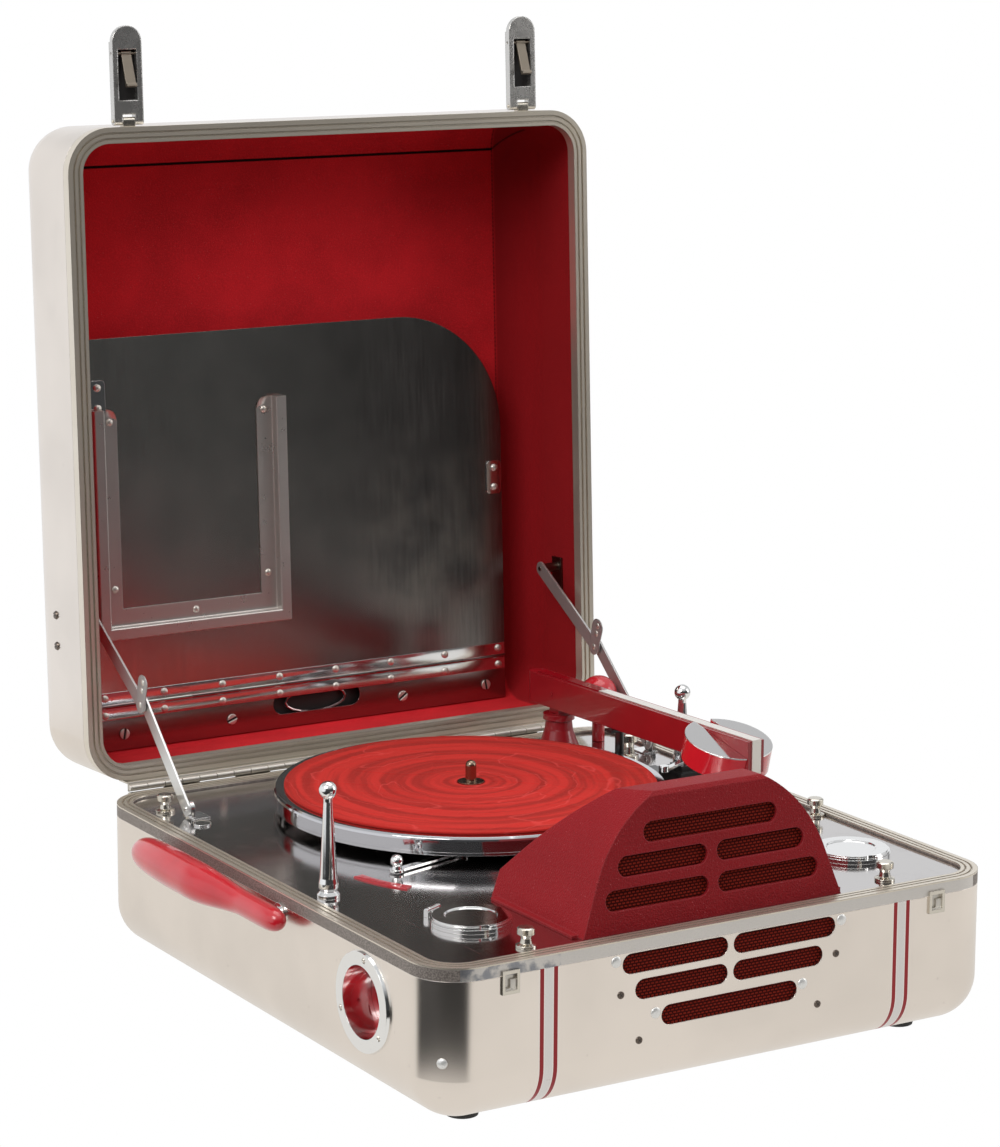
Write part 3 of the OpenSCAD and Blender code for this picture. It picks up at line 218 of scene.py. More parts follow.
def rotated(ring, degrees, to=(0.0, 0.0)):
    """An outline turned round (0, 0), then moved to a place."""
    c, d = math.cos(math.radians(degrees)), math.sin(math.radians(degrees))
    return np.asarray(ring) @ np.array([[c, d], [-d, c]]) + to


def tube(name, path, radius, around):
    """A round section, its radius given for each point, carried along a path of points."""
    path = np.asarray(path, float)
    run = np.gradient(path, axis=0)
    run /= np.linalg.norm(run, axis=1, keepdims=True)
    side = np.cross(run, [0.13, 0.31, 0.94])
    side /= np.linalg.norm(side, axis=1, keepdims=True)
    other = np.cross(run, side)
    a = np.linspace(0, 2 * np.pi, around, endpoint=False)[None, :, None]
    round_it = np.cos(a) * side[:, None] + np.sin(a) * other[:, None]
    grid = path[:, None] + np.asarray(radius)[:, None, None] * round_it
    faces = [list(f) for f in grid_faces(len(path), around, wrap_cols=True)]
    last = (len(path) - 1) * around
    faces.append(list(range(around)))
    faces.append(list(range(last, last + around))[::-1])
    return smooth_by_angle(linked(name, grid, faces))


# Shader maths


def maths(operation):
    """A method that adds a Math node for this operation."""
    return lambda self, *others: self.do(operation, *others)


class Value:
    """A shader socket that takes part in Python arithmetic: each operation adds one Math node."""
    __add__ = __radd__ = maths("ADD")
    __sub__ = maths("SUBTRACT")
    __mul__ = __rmul__ = maths("MULTIPLY")
    __truediv__ = maths("DIVIDE")
    __pow__ = maths("POWER")
    __abs__ = maths("ABSOLUTE")
    __gt__ = maths("GREATER_THAN")
    __lt__ = maths("LESS_THAN")
    sin = maths("SINE")
    maximum = maths("MAXIMUM")

    def __init__(self, net, socket):
        self.net, self.socket = net, socket

    def do(self, operation, *others, clamp=False):
        """The result of one operation on this value and the others."""
        made = self.net.node("ShaderNodeMath", {"operation": operation, "use_clamp": clamp},
                             dict(enumerate((self,) + others)))
        return Value(self.net, made.outputs[0])

    def __rsub__(self, other):
        made = self.net.node("ShaderNodeMath", {"operation": "SUBTRACT"}, {0: other, 1: self})
        return Value(self.net, made.outputs[0])

    def clamp(self):
        """The value kept between 0 and 1."""
        return self.do("ADD", 0.0, clamp=True)

    def ramp(self, start, end, low=0.0, high=1.0):
        """Runs smoothly from low to high as the value goes from start to end."""
        made = self.net.node("ShaderNodeMapRange", {"interpolation_type": "SMOOTHSTEP"},
                             {"Value": self, "From Min": start, "From Max": end,
                              "To Min": low, "To Max": high})
        return Value(self.net, made.outputs[0])


class Net:
    """The nodes of one material, or of the world."""

    def __init__(self, name, kind="materials"):
        self.owner = getattr(bpy.data, kind).new(name)
        self.owner.use_nodes = True
        self.tree = self.owner.node_tree
        self.tree.nodes.clear()
        self.xyz = None

    def node(self, kind, settings=None, inputs=None):
        """A new node with these settings, its inputs set or linked."""
        made = self.tree.nodes.new(kind)
        for key, value in (settings or {}).items():
            setattr(made, key, value)
        for key, value in (inputs or {}).items():
            target = made.inputs[key]
            if isinstance(value, Value):
                self.tree.links.new(value.socket, target)
            elif isinstance(value, bpy.types.NodeSocket):
                self.tree.links.new(value, target)
            else:
                target.default_value = value
        return made

    def split(self, vector):
        """x, y and z of a vector."""
        parts = self.node("ShaderNodeSeparateXYZ", None, {0: vector})
        return [Value(self, parts.outputs[i]) for i in range(3)]

    def place(self):
        """x, y and z of the surface point, in millimetres."""
        if self.xyz is None:
            coords = self.node("ShaderNodeTexCoord")
            self.xyz = [c * 1000.0 for c in self.split(coords.outputs["Object"])]
        return self.xyz

    def point(self, x, y, z):
        """A vector from three values."""
        return self.node("ShaderNodeCombineXYZ", None, {0: x, 1: y, 2: z}).outputs[0]

    def facing(self):
        """x, y and z of the face's own normal."""
        return self.split(self.node("ShaderNodeNewGeometry").outputs["True Normal"])

    def noise(self, size, detail=2.0, rough=0.5, stretch=(1.0, 1.0, 1.0), at=None):
        """Noise whose lumps are about size millimetres across, drawn out along each axis by stretch."""
        x, y, z = self.place()
        vector = at or self.point(*(c * (1.0 / (size * s)) for c, s in zip((x, y, z), stretch)))
        made = self.node("ShaderNodeTexNoise", None,
                         {"Vector": vector, "Scale": 1.0, "Detail": detail, "Roughness": rough})
        return Value(self, made.outputs[0])

    def mix(self, factor, a, b):
        """Colour a where factor is 0 and b where it is 1."""
        made = self.node("ShaderNodeMix", {"data_type": "RGBA"}, {0: factor, 6: rgba(a), 7: rgba(b)})
        return made.outputs[2]

    def rounded(self, radius):
        """A normal that rounds sharp edges over radius millimetres."""
        return self.node("ShaderNodeBevel", {"samples": 4}, {"Radius": radius * MM}).outputs[0]

    def edge(self, radius):
        """0 on flat faces, rising near sharp edges."""
        flat = self.node("ShaderNodeNewGeometry").outputs["Normal"]
        dot = self.node("ShaderNodeVectorMath", {"operation": "DOT_PRODUCT"},
                        {0: self.rounded(radius), 1: flat})
        return 1.0 - Value(self, dot.outputs["Value"])

    def bump(self, height, depth, normal=None):
        """A normal dented by height, which is worth depth millimetres."""
        inputs = {"Height": height, "Strength": 1.0, "Distance": depth * MM}
        if normal is not None:
            inputs["Normal"] = normal
        return self.node("ShaderNodeBump", None, inputs).outputs[0]

    def finish(self, **sockets):
        """Ends the material in a Principled shader with these socket values."""
        names = {key.replace("_", " ").title().replace("Ior", "IOR"): rgba(value)
                 for key, value in sockets.items()}
        shader = self.node("ShaderNodeBsdfPrincipled", None, names)
        out = self.node("ShaderNodeOutputMaterial")
        self.tree.links.new(shader.outputs[0], out.inputs[0])
        return self.owner

    def white_to_camera(self, kind, colour, strength, output):
        """Ends the net in a light of this colour that the camera itself sees as plain white."""
        glow = self.node(kind, None, {"Color": colour, "Strength": strength})
        white = self.node(kind, None, {"Color": (1, 1, 1, 1), "Strength": 1.0})
        ray = self.node("ShaderNodeLightPath").outputs["Is Camera Ray"]
        mix = self.node("ShaderNodeMixShader", None, {0: ray, 1: glow.outputs[0], 2: white.outputs[0]})
        self.tree.links.new(mix.outputs[0], self.node(output).inputs[0])


def rgba(value):
    """A colour of three numbers gains its alpha; anything else passes through."""
    return (*value, 1.0) if isinstance(value, tuple) and len(value) == 3 else value


def shade(colour, by, lift=0.0):
    """A colour made darker or lighter, up to white."""
    return tuple(min(1, c * by + lift) for c in colour)


# Finishes


def looks():
    """The sizes and colours of the panel."""
    return bpy.context.scene.gramophone_looks


def case_metal():
    """Warm satin aluminium of the case, with the two red lines on each side of the front."""
    net = Net("case aluminium")
    x, y, z = net.place()
    broad = net.noise(90, 3)
    fine = net.noise(1.2, 3, 0.6, (1, 1, 14))
    half_gap = 4.65
    lean = abs(abs(abs(x) - STRIPE_X) - half_gap)
    front = (y < -150.0) * (z < 87.4)
    stripe = lean.ramp(1.25, 1.45, 1.0, 0.0) * front
    outline = lean.ramp(1.9, 2.2, 1.0, 0.0) * front
    band = abs(abs(x) - STRIPE_X).ramp(3.0, 3.4, 1.0, 0.0) * front
    tint = tuple(looks().case_tint)
    metal = net.mix(broad.ramp(0.35, 0.7), tint, shade(tint, 0.92))
    metal = net.mix(band * 0.5, metal, (0.62, 0.64, 0.68))
    metal = net.mix(outline * 0.7, metal, (0.9, 0.84, 0.8))
    colour = net.mix(stripe, metal, shade(looks().lacquer_red, 0.5))
    spots = net.noise(3.5, 2, 0.5).ramp(0.70, 0.76) * 0.25
    rough = 0.17 + broad * 0.08 + fine * 0.03 + stripe * 0.1
    normal = net.bump(fine * 0.1 + net.noise(24, 2), 0.01, net.rounded(0.6))
    return net.finish(base_color=net.mix(spots, colour, (0.5, 0.42, 0.38)), metallic=1.0 - stripe * 0.9,
                      roughness=rough, normal=normal)


def rim_metal():
    """Pale gold beads of the rims with painted shade in their grooves, and a darker sanded band round the
    base below them.
    """
    net = Net("rim aluminium")
    x, y, z = net.place()
    grain = net.noise(0.9, 3, 0.7)
    long = net.noise(45, 3)
    side = (z < 94.0) * (abs(net.facing()[2]) < 0.5)
    worn = side * (1.0 - (y < -214.0) * 0.75)
    # Near sharp edges and in the grooves the rims are painted near black: painted shade.
    groove_shade = net.edge(0.9).ramp(0.04, 0.3)
    colour = net.mix(long, (0.86, 0.80, 0.69), (0.70, 0.63, 0.53))
    colour = net.mix(grain.ramp(0.6, 0.78) * 0.25, colour, (0.30, 0.26, 0.22))
    colour = net.mix(groove_shade * 0.85, colour, (0.10, 0.07, 0.05))
    keeper = (abs(x + KEEPER_X) < 34.0) * net.noise(9, 3).ramp(0.42, 0.6)
    colour = net.mix(side, colour, net.mix(keeper, (0.84, 0.81, 0.77), (0.34, 0.36, 0.40)))
    sanded = net.mix(grain.ramp(0.35, 0.65), (0.16, 0.135, 0.12), (0.36, 0.32, 0.29))
    colour = net.mix(worn, colour, sanded)
    rough = 0.26 + 0.1 * long + 0.2 * worn
    return net.finish(base_color=colour, metallic=0.8 - 0.35 * worn, roughness=rough,
                      normal=net.bump(grain * worn, 0.08, net.rounded(0.4)))


def deck_metal():
    """Bright sheet aluminium, almost a mirror, lightly brushed, scratched and stained."""
    net = Net("deck aluminium")
    brushed = net.noise(0.7, 3, 0.6, (60, 1, 60))
    scratch = net.noise(3.0, 2, 0.5, (1, 25, 1)).ramp(0.68, 0.74)
    stain = net.noise(26, 4, 0.6).ramp(0.5, 0.78)
    dust = net.noise(1.6, 2, 0.5).ramp(0.72, 0.78)
    colour = net.mix(stain * 0.35, (0.60, 0.58, 0.57), (0.44, 0.42, 0.41))
    colour = net.mix(dust * 0.3, colour, (0.8, 0.78, 0.75))
    rough = 0.09 + 0.05 * brushed + 0.06 * stain + 0.1 * scratch
    return net.finish(base_color=colour, metallic=1.0, roughness=rough,
                      normal=net.bump(brushed * 0.6 + scratch, 0.006, net.rounded(0.4)))


def plate_metal():
    """Brushed sheet of the record plate, painted darker toward the right with a brownish cloud to the right,
    both painted reflection, and bright on its cut edge.
    """
    net = Net("plate aluminium")
    x, _, z = net.place()
    brushed = net.noise(1.6, 3, 0.6, (1, 1, 60))
    cloud = net.noise(38, 4, 0.55)
    right = (x - 105.0) * (1.0 / 60.0)
    up = (z - 225.0) * (1.0 / 75.0)
    # A brownish cloud up to the right: painted reflection.
    patch = (right * right + up * up).ramp(0.0, 1.6, 1.0, 0.0) * cloud.ramp(0.35, 0.65)
    cut = abs(net.facing()[1]) < 0.6
    # Pale on the left and dark on the right: painted reflection.
    colour = net.mix(x.ramp(-150.0, 140.0), (0.60, 0.60, 0.56), (0.20, 0.18, 0.17))
    colour = net.mix(brushed.ramp(0.25, 0.75) * 0.5, colour, (0.38, 0.37, 0.35))
    colour = net.mix(patch * 0.45, colour, (0.46, 0.42, 0.37))
    colour = net.mix(cut, colour, (0.92, 0.88, 0.84))
    return net.finish(base_color=colour, metallic=1.0, roughness=0.15 + 0.04 * brushed + 0.1 * cloud,
                      normal=net.bump(brushed, 0.002, net.rounded(0.3)))


def bright_metal(name, colour=(0.88, 0.88, 0.87), rough=0.06, wear=0.06, edge=0.5, metallic=1.0):
    """Plated metal with faint wear and soft edges."""
    net = Net(name)
    patch = net.noise(9, 3, 0.6)
    specks = net.noise(1.4, 2, 0.5).ramp(0.7, 0.78)
    tint = net.mix(specks * 0.35, colour, shade(colour, 0.45))
    return net.finish(base_color=tint, metallic=metallic, roughness=rough + wear * patch,
                      normal=net.rounded(edge))


def lacquer(name="red lacquer", dim=1.0, coat=1.0):
    """Deep glossy red lacquer under a clear coat. Where the second argument is below 1 it darkens the red:
    painted shade.
    """
    net = Net(name)
    patch = net.noise(16, 3)
    red = shade(looks().lacquer_red, dim)
    colour = net.mix(patch, red, shade(red, 0.75))
    return net.finish(base_color=colour, metallic=0.0, roughness=0.3, coat_weight=coat, coat_roughness=0.03,
                      normal=net.bump(net.noise(30, 2), 0.05, net.rounded(0.6)))


def head_lacquer():
    """Red drum of the pick-up head; its top face is made pale plated metal, which stands for the white
    reflection in the drum's glossy top: painted reflection.
    """
    net = Net("pick-up head")
    x, y, z = net.place()
    lean = math.radians(14)
    a = math.radians(ARM_TURN)
    across = x - (ARM[0] + HEAD_REACH * math.sin(a))
    back = y - (ARM[1] - HEAD_REACH * math.cos(a))
    along = across * math.sin(a) - back * math.cos(a)
    height = (z - HEAD_TOP) * math.cos(lean) + along * math.sin(lean)
    plate = height > -0.9
    red = tuple(looks().lacquer_red)
    # The top face is pale metal in place of red lacquer: painted reflection.
    colour = net.mix(plate, red, (0.90, 0.89, 0.88))
    return net.finish(base_color=colour, metallic=plate, roughness=0.1 + 0.12 * (1.0 - plate),
                      coat_weight=1.0 - plate, coat_roughness=0.03, normal=net.rounded(0.8))


def crinkle():
    """Wrinkle-finish paint: small ridges, with pale specks as painted glints on the crests and paler edges
    as painted highlights.
    """
    net = Net("crinkle paint")
    x, y, z = net.place()
    cells = net.node("ShaderNodeTexVoronoi", {"feature": "SMOOTH_F1"},
                     {"Vector": net.point(x * 0.9, y * 0.9, z * 0.9), "Scale": 1.0, "Smoothness": 0.5})
    ridge = Value(net, cells.outputs[0])
    fine = net.noise(0.6, 2, 0.6)
    crest_glint = net.noise(1.1, 2, 0.5).ramp(0.66, 0.75)
    # worn marks the edges here; below they are painted lighter: painted highlight.
    worn = net.edge(1.6).ramp(0.02, 0.35)
    red = tuple(looks().crinkle_red)
    colour = net.mix(net.noise(30, 2), red, shade(red, 0.8))
    # Pale specks and pale edges: painted highlights.
    colour = net.mix((crest_glint * 0.4 + worn * 0.25).clamp(), colour, (0.62, 0.16, 0.17))
    dents = net.bump(ridge * 0.8 + fine * 0.3, 0.5, net.rounded(1.2))
    return net.finish(base_color=colour, metallic=0.0, roughness=0.5 + 0.15 * ridge,
                      specular_ior_level=0.2, normal=dents)


def flock():
    """Deep red velvet flock: its walls meet in dark stitched seams, and a slit runs under the top wall,
    painted near black as painted shade; the right wall is painted darker as painted shade.
    """
    net = Net("red flock")
    x, y, z = net.place()
    nap = net.noise(1.0, 3, 0.7)
    rubbed = net.noise(70, 3, 0.6)
    dust = net.noise(0.9, 1, 0.5).ramp(0.70, 0.78)
    seam_x, slit_z = 171.5, 499.0
    back = y.ramp(318.0, 321.0)
    stitch = (z * 2.1).sin().ramp(-0.2, 0.4)
    seam = abs(x - seam_x).ramp(0.3, 0.9, 1.0, 0.0) * back * (0.55 + 0.45 * stitch)
    slit = abs(z - slit_z).ramp(0.6, 1.3, 1.0, 0.0) * back * (x < 172.0)
    mitre = abs((z - slit_z) - (x - seam_x) * 0.75).ramp(0.5, 1.2, 1.0, 0.0)
    mitre = mitre * (x > seam_x) * (z > slit_z) * back
    red = tuple(looks().flock_red)
    colour = net.mix(rubbed.ramp(0.3, 0.7), shade(red, 0.72), red)
    colour = net.mix(nap.ramp(0.35, 0.8) * 0.4, colour, shade(red, 1.5))
    colour = net.mix(dust * 0.35, colour, (0.60, 0.16, 0.16))
    # The right wall, past the seam, is painted darker: painted shade.
    colour = net.mix(x.ramp(171.0, 174.0) * 0.85, colour, shade(red, 0.35))
    colour = net.mix(seam.maximum(mitre) * 0.75, colour, (0.03, 0.002, 0.002))
    # The slit is painted near black: painted shade in the gap.
    colour = net.mix(slit, colour, (0.004, 0.001, 0.001))
    return net.finish(base_color=colour, metallic=0.0, roughness=0.95, specular_ior_level=0.15,
                      sheen_weight=0.25, sheen_roughness=0.5, sheen_tint=(0.8, 0.1, 0.1),
                      normal=net.bump(nap, 0.2))


def felt():
    """Orange-red felt of the mat, creased in arcs round the spindle, painted darker along the low arcs as
    painted shade and lighter on the crease ridges as painted highlight.
    """
    net = Net("mat felt")
    x, y, _ = net.place()
    dx, dy = x - PLATTER[0], y - PLATTER[1]
    radius = (dx * dx + dy * dy) ** 0.5
    fibre = net.noise(0.8, 3, 0.7)
    drift = net.noise(34, 3, 0.55)
    arcs = net.noise(1, 2, 0.55, at=net.point(radius * 0.13 + drift * 0.8, dx * 0.006, dy * 0.006))
    folds = net.noise(1, 1.5, 0.5, at=net.point(radius * 0.03 + drift * 0.8, dx * 0.01, dy * 0.01))
    crease = abs(folds - 0.5).ramp(0.0, 0.012, 1.0, 0.0)
    red = tuple(looks().felt_red)
    # Darker where the arcs lie low in the bump: painted shade.
    colour = net.mix(arcs.ramp(0.36, 0.62), shade(red, 0.6), red)
    # Lighter along the crease ridges: painted highlight.
    colour = net.mix(crease * 0.4, colour, shade(red, 1.35, 0.05))
    colour = net.mix(fibre.ramp(0.45, 0.8) * 0.3, colour, shade(red, 1.3, 0.02))
    colour = net.mix(radius.ramp(116.0, 121.0) * 0.35, colour, shade(red, 0.5))
    return net.finish(base_color=colour, metallic=0.0, roughness=0.95, specular_ior_level=0.1,
                      sheen_weight=0.1, sheen_roughness=0.6, sheen_tint=(1.0, 0.4, 0.3),
                      normal=net.bump(fibre * 0.3 + arcs * 0.6 + crease * 0.4, 0.6))


def weave():
    """Dark red grille cloth: short lighter threads in rows, each row shifted against the next."""
    net = Net("grille cloth")
    x, _, z = net.place()
    row = (z * 3.4).sin()
    shift = (z * 1.7).sin().ramp(-0.1, 0.1, 0.0, 3.14)
    thread = row.ramp(-0.7, 0.3) * (x * 2.2 + shift).sin().ramp(-0.9, -0.2)
    colour = net.mix(thread, (0.04, 0.002, 0.002), (0.24, 0.018, 0.008))
    return net.finish(base_color=colour, metallic=0.0, roughness=0.9, specular_ior_level=0.1,
                      normal=net.bump(thread, 0.2))


def inlay_metal():
    """Top strip of the arm: pale nickel from the joint to the nose and dark red behind it, painted
    reflection of the bright room in front and of the dark lid behind.
    """
    net = Net("arm inlay")
    joint_y = 124.0
    front = net.place()[1] < joint_y
    red = tuple(looks().lacquer_red)
    # Pale in front of the joint and dark behind it: painted reflection.
    colour = net.mix(front, shade(red, 0.4), (0.90, 0.86, 0.80))
    return net.finish(base_color=colour, metallic=front * 0.85, roughness=0.1 + front * 0.22,
                      normal=net.rounded(0.3))


def plain(name, colour, rough):
    """One colour and one roughness."""
    return Net(name).finish(base_color=colour, metallic=0.0, roughness=rough)


FINISHES = {
    "case": ["base_shell", "lid_shell"],
    "rim": ["base_rim", "lid_rim"],
    "deck": ["deck_plate"],
    "plate": ["record_plate"],
    "strip": ["plate_strip"],
    "inlay": ["arm_inlay"],
    "stay": ["stay_lower_left", "stay_lower_right", "stay_upper_left", "stay_upper_right"],
    "stud": ["stay_studs"],
    "chrome": ["handle_posts", "inlet_cup", "guard_posts", "needle_cups", "arm_base",
               "needle", "speed_lever", "stop_lever", "cup_lid_left", "cup_lid_right",
               "stay_feet", "plate_clips"],
    "channel": ["plate_channel"],
    "hasp": ["hasp_left", "hasp_right"],
    "nickel": ["keepers", "case_screws", "deck_thumb_screws", "hinge_base_leaf", "hinge_pin",
               "hinge_lid_leaf", "hasp_lugs"],
    "dark": ["arm_rest"],
    "spindle": ["spindle"],
    "iron": ["speaker_frame", "motor", "amplifier_chassis", "transformer"],
    "lacquer": ["handle_grip", "inlet_socket", "speed_scale", "volume_knob"],
    "arm": ["arm_pedestal", "tone_arm"],
    "platter": ["platter"],
    "head": ["pickup_head"],
    "crinkle": ["speaker_housing"],
    "flock": ["lid_lining"],
    "felt": ["turntable_mat"],
    "cloth": ["housing_cloth", "front_cloth"],
    "rubber": ["feet", "valves", "speaker_cone"],
    "brass": ["governor", "hasp_catch_left", "hasp_catch_right"],
}


def finish_table():
    """Makes every material. FINISHES uses these keys, and the new pieces the materials' own names."""
    return {
        "case": case_metal(),
        "rim": rim_metal(),
        "deck": deck_metal(),
        "plate": plate_metal(),
        "strip": bright_metal("strip aluminium", (0.34, 0.24, 0.24), 0.12, 0.08, 0.3),
        "inlay": inlay_metal(),
        "stay": bright_metal("stay steel", (0.56, 0.55, 0.54), 0.36, 0.12, 0.5, 0.8),
        "stud": bright_metal("dark studs", (0.16, 0.13, 0.11), 0.25, 0.1),
        # A lighter copy of the stay steel, for the lower left stay: painted light.
        "stay steel painted light": bright_metal("stay steel painted light", (0.80, 0.80, 0.79), 0.3, 0.12),
        "chrome": bright_metal("chrome"),
        "channel": bright_metal("pressed strip", (0.66, 0.63, 0.60), 0.24, 0.1, 0.5, 0.85),
        "hasp": bright_metal("hasp chrome", (0.66, 0.65, 0.63), 0.2, 0.14, 1.2, 0.92),
        "nickel": bright_metal("nickel", (0.70, 0.66, 0.58), 0.16, 0.1),
        "dark": bright_metal("blackened steel", (0.10, 0.10, 0.10), 0.25, 0.1),
        "spindle": bright_metal("bronze spindle", (0.30, 0.22, 0.16), 0.18, 0.1),
        "iron": plain("grey iron", (0.2, 0.2, 0.21), 0.5),
        "lacquer": lacquer(),
        "pale heads": bright_metal("pale heads", (0.86, 0.86, 0.84), 0.32, 0.1, 0.4, 0.6),
        # The arm and its pedestal get the same red at half brightness: painted shade.
        "arm": lacquer("arm lacquer", 0.5, 0.6),
        "platter": bright_metal("platter chrome", (0.62, 0.62, 0.64), 0.05, 0.04),
        "head": head_lacquer(),
        "crinkle": crinkle(),
        "flock": flock(),
        "felt": felt(),
        "cloth": weave(),
        "rubber": plain("black rubber", (0.02, 0.02, 0.02), 0.7),
        "brass": bright_metal("dull bronze", (0.36, 0.31, 0.25), 0.3, 0.15),
        # Near black for slots, pans and the crosses of screws: painted shade.
        "recess": plain("recess shade black", (0.012, 0.01, 0.01), 0.6),
    }


def paint(obj, material):
    """Gives an object this one material."""
    obj.data.materials.clear()
    obj.data.materials.append(material)
    return obj


class GramophoneLooks(bpy.types.PropertyGroup):
    """Sizes and colours that a user would change."""
    lacquer_red: FloatVectorProperty(name="Lacquer red", description="Colour of the glossy red pieces",
                                     subtype="COLOR", default=(0.66, 0.009, 0.022), min=0, max=1)
    crinkle_red: FloatVectorProperty(name="Crinkle red", description="Colour of the housing's paint",
                                     subtype="COLOR", default=(0.30, 0.008, 0.013), min=0, max=1)
    flock_red: FloatVectorProperty(name="Flock red", description="Colour of the lid's lining",
                                   subtype="COLOR", default=(0.66, 0.018, 0.026), min=0, max=1)
    felt_red: FloatVectorProperty(name="Felt red", description="Colour of the turntable mat",
                                  subtype="COLOR", default=(0.56, 0.024, 0.020), min=0, max=1)
    case_tint: FloatVectorProperty(name="Case tint", description="Tint of the polished case",
                                   subtype="COLOR", default=(0.87, 0.80, 0.73), min=0, max=1)
    mat_wrinkle: FloatProperty(name="Mat wrinkles", description="Height of the wrinkles in the felt mat",
                               subtype="DISTANCE", unit="LENGTH", default=0.0005, min=0, max=0.001)
    grip_radius: FloatProperty(name="Grip radius", description="Radius of the handle at its middle",
                               subtype="DISTANCE", unit="LENGTH", default=0.0122, min=0.009, max=0.0125)


class GRAMOPHONE_OT_finishes(bpy.types.Operator):
    """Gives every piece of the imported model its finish"""
    bl_idname = "gramophone.finishes"
    bl_label = "Finishes"

    def execute(self, context):
        table = finish_table()
        for key, names in FINISHES.items():
            for name in names:
                paint(NODES[name], table[key])
        return {"FINISHED"}


class GRAMOPHONE_OT_mat(bpy.types.Operator):
    """Makes the wrinkled felt mat"""
    bl_idname = "gramophone.mat"
    bl_label = "Felt mat"

    def execute(self, context):
        obj = paint(felt_mat(looks().mat_wrinkle / MM), bpy.data.materials["mat felt"])
        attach(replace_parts(obj, "turntable_mat"), "turntable")
        return {"FINISHED"}


def felt_mat(wrinkle):
    """A disc on a polar grid. Its top sinks by the wrinkles, which are ridges of a few slanted sine waves
    along arcs, and falls off as a quarter circle at both edges; the under side is flat."""
    low, high = corner("turntable_mat"), corner("turntable_mat", False)
    outer = (high[0] - low[0]) / 2
    inner = 9.2
    around = 360
    a = np.linspace(0, 2 * np.pi, around, endpoint=False)
    soft = 0.9
    bend = np.linspace(0, np.pi / 2, 5)
    r_in = inner + soft * (1 - np.sin(bend))
    r_mid = np.linspace(inner + soft, outer - soft, 90)[1:-1]
    r_out = outer - soft * (1 - np.sin(bend))
    r_top = np.concatenate([r_in[::-1], r_mid, r_out])
    drop = np.concatenate([soft * (1 - np.cos(bend))[::-1], 0 * r_mid, soft * (1 - np.cos(bend))])
    r, t = np.meshgrid(r_top, a, indexing="ij")
    x, y = r * np.cos(t), r * np.sin(t)
    crease = np.zeros_like(r)
    waves = [(0.060, 0.3, 0.5, 0.2), (0.085, 1.2, 0.7, 1.7), (0.047, 2.2, 0.6, 3.0), (0.11, 2.8, 0.4, 5.1),
             (0.14, 0.8, 0.3, 0.9)]
    for i, (k, turn, bow, shift) in enumerate(waves):
        along = x * math.cos(turn) + y * math.sin(turn)
        across = y * math.cos(turn) - x * math.sin(turn)
        wave = np.sin(2 * k * along + 3 * bow * np.sin(0.05 * across) + shift)
        crease += np.exp(-((1 - wave) / 0.04)) * (0.6 + 0.4 * np.sin(3 * t + i))
    depth = wrinkle * (1.0 - np.clip(crease, 0, 1.2) / 1.2)
    depth = depth + 0.12 * (1 + np.sin(5 * t + 0.05 * r)) * np.exp(-((outer - r) / 6) ** 2)
    z_top = high[2] - drop[:, None] - depth * (drop[:, None] < soft * 0.5)
    top = np.stack([PLATTER[0] + x, PLATTER[1] + y, z_top], axis=-1)
    under = top[[-1, 0]].copy()
    under[..., 2] = low[2]
    grid = np.concatenate([top, under])
    faces = grid_faces(len(grid), around, wrap_rows=True, wrap_cols=True)
    return mesh_object("felt_mat", grid, faces)


class GRAMOPHONE_OT_handle(bpy.types.Operator):
    """Makes the smooth bow of the carrying handle"""
    bl_idname = "gramophone.handle"
    bl_label = "Handle grip"

    def execute(self, context):
        obj = paint(handle_bow(looks().grip_radius / MM), bpy.data.materials["red lacquer"])
        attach(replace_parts(obj, "handle_grip"), "base")
        return {"FINISHED"}


def handle_bow(radius):
    """A round section carried along the posts. Radius, reach and height grow by a smooth step behind the
    front post and fall off toward the back by a square, and the radius closes to a dome at each end."""
    close = 0.03 * np.array([0, 0.01, 0.05, 0.12, 0.25, 0.45, 0.7])
    t = np.concatenate([close - 1, np.linspace(-0.97, 0.97, 70), 1 - close[::-1]])
    s = np.sin(np.pi / 2 * t)
    rise = np.clip((s + 0.5) / 0.55, 0, 1)
    fall = np.clip((s - 0.3) / 0.7, 0, 1)
    swell = rise * rise * (3 - 2 * rise) * (1 - 0.45 * fall * fall)
    post_x, middle_y, post_z = -210.0, 38.5, 82.0
    half_span, reach, lift, neck = 91, 8, 3, 7.7
    r = neck + (radius - neck) * swell
    r = r * np.sqrt(np.clip(1 - np.abs(s) ** np.where(s < 0, 18, 13), 0.0004, 1))
    path = np.stack([post_x - reach * swell, middle_y + half_span * s, post_z + lift * swell], axis=-1)
    tangent = np.gradient(path, axis=0)
    tangent /= np.linalg.norm(tangent, axis=1, keepdims=True)
    across = np.cross([0, 0, 1], tangent)
    a = np.linspace(0, 2 * np.pi, 48, endpoint=False)
    grid = path[:, None] + r[:, None, None] * (np.cos(a)[None, :, None] * across[:, None]
                                               + np.sin(a)[None, :, None] * np.array([0, 0, 1.0]))
    ends = np.stack([path[0], path[-1]])
    points = np.concatenate([grid.reshape(-1, 3), ends])
    rows, cols = grid.shape[:2]
    faces = [tuple(f) for f in grid_faces(rows, cols, wrap_cols=True)[:, ::-1]]
    n = rows * cols
    faces += [(n, k, (k + 1) % cols) for k in range(cols)]
    faces += [(n + 1, (rows - 1) * cols + (k + 1) % cols, (rows - 1) * cols + k) for k in range(cols)]
    return smooth(linked("handle_bow", points, faces))


def lid_fit(w):
    """Places (x, v, height) on the lid's inner side, heights counted toward the opening from depth w."""
    return lambda x, v, h: lid_point(x, v, w - h)


def on_front(x, z, h):
    """Places (x, z, height) on the front of the case."""
    return np.stack([x, FRONT_Y - h, z], axis=-1)


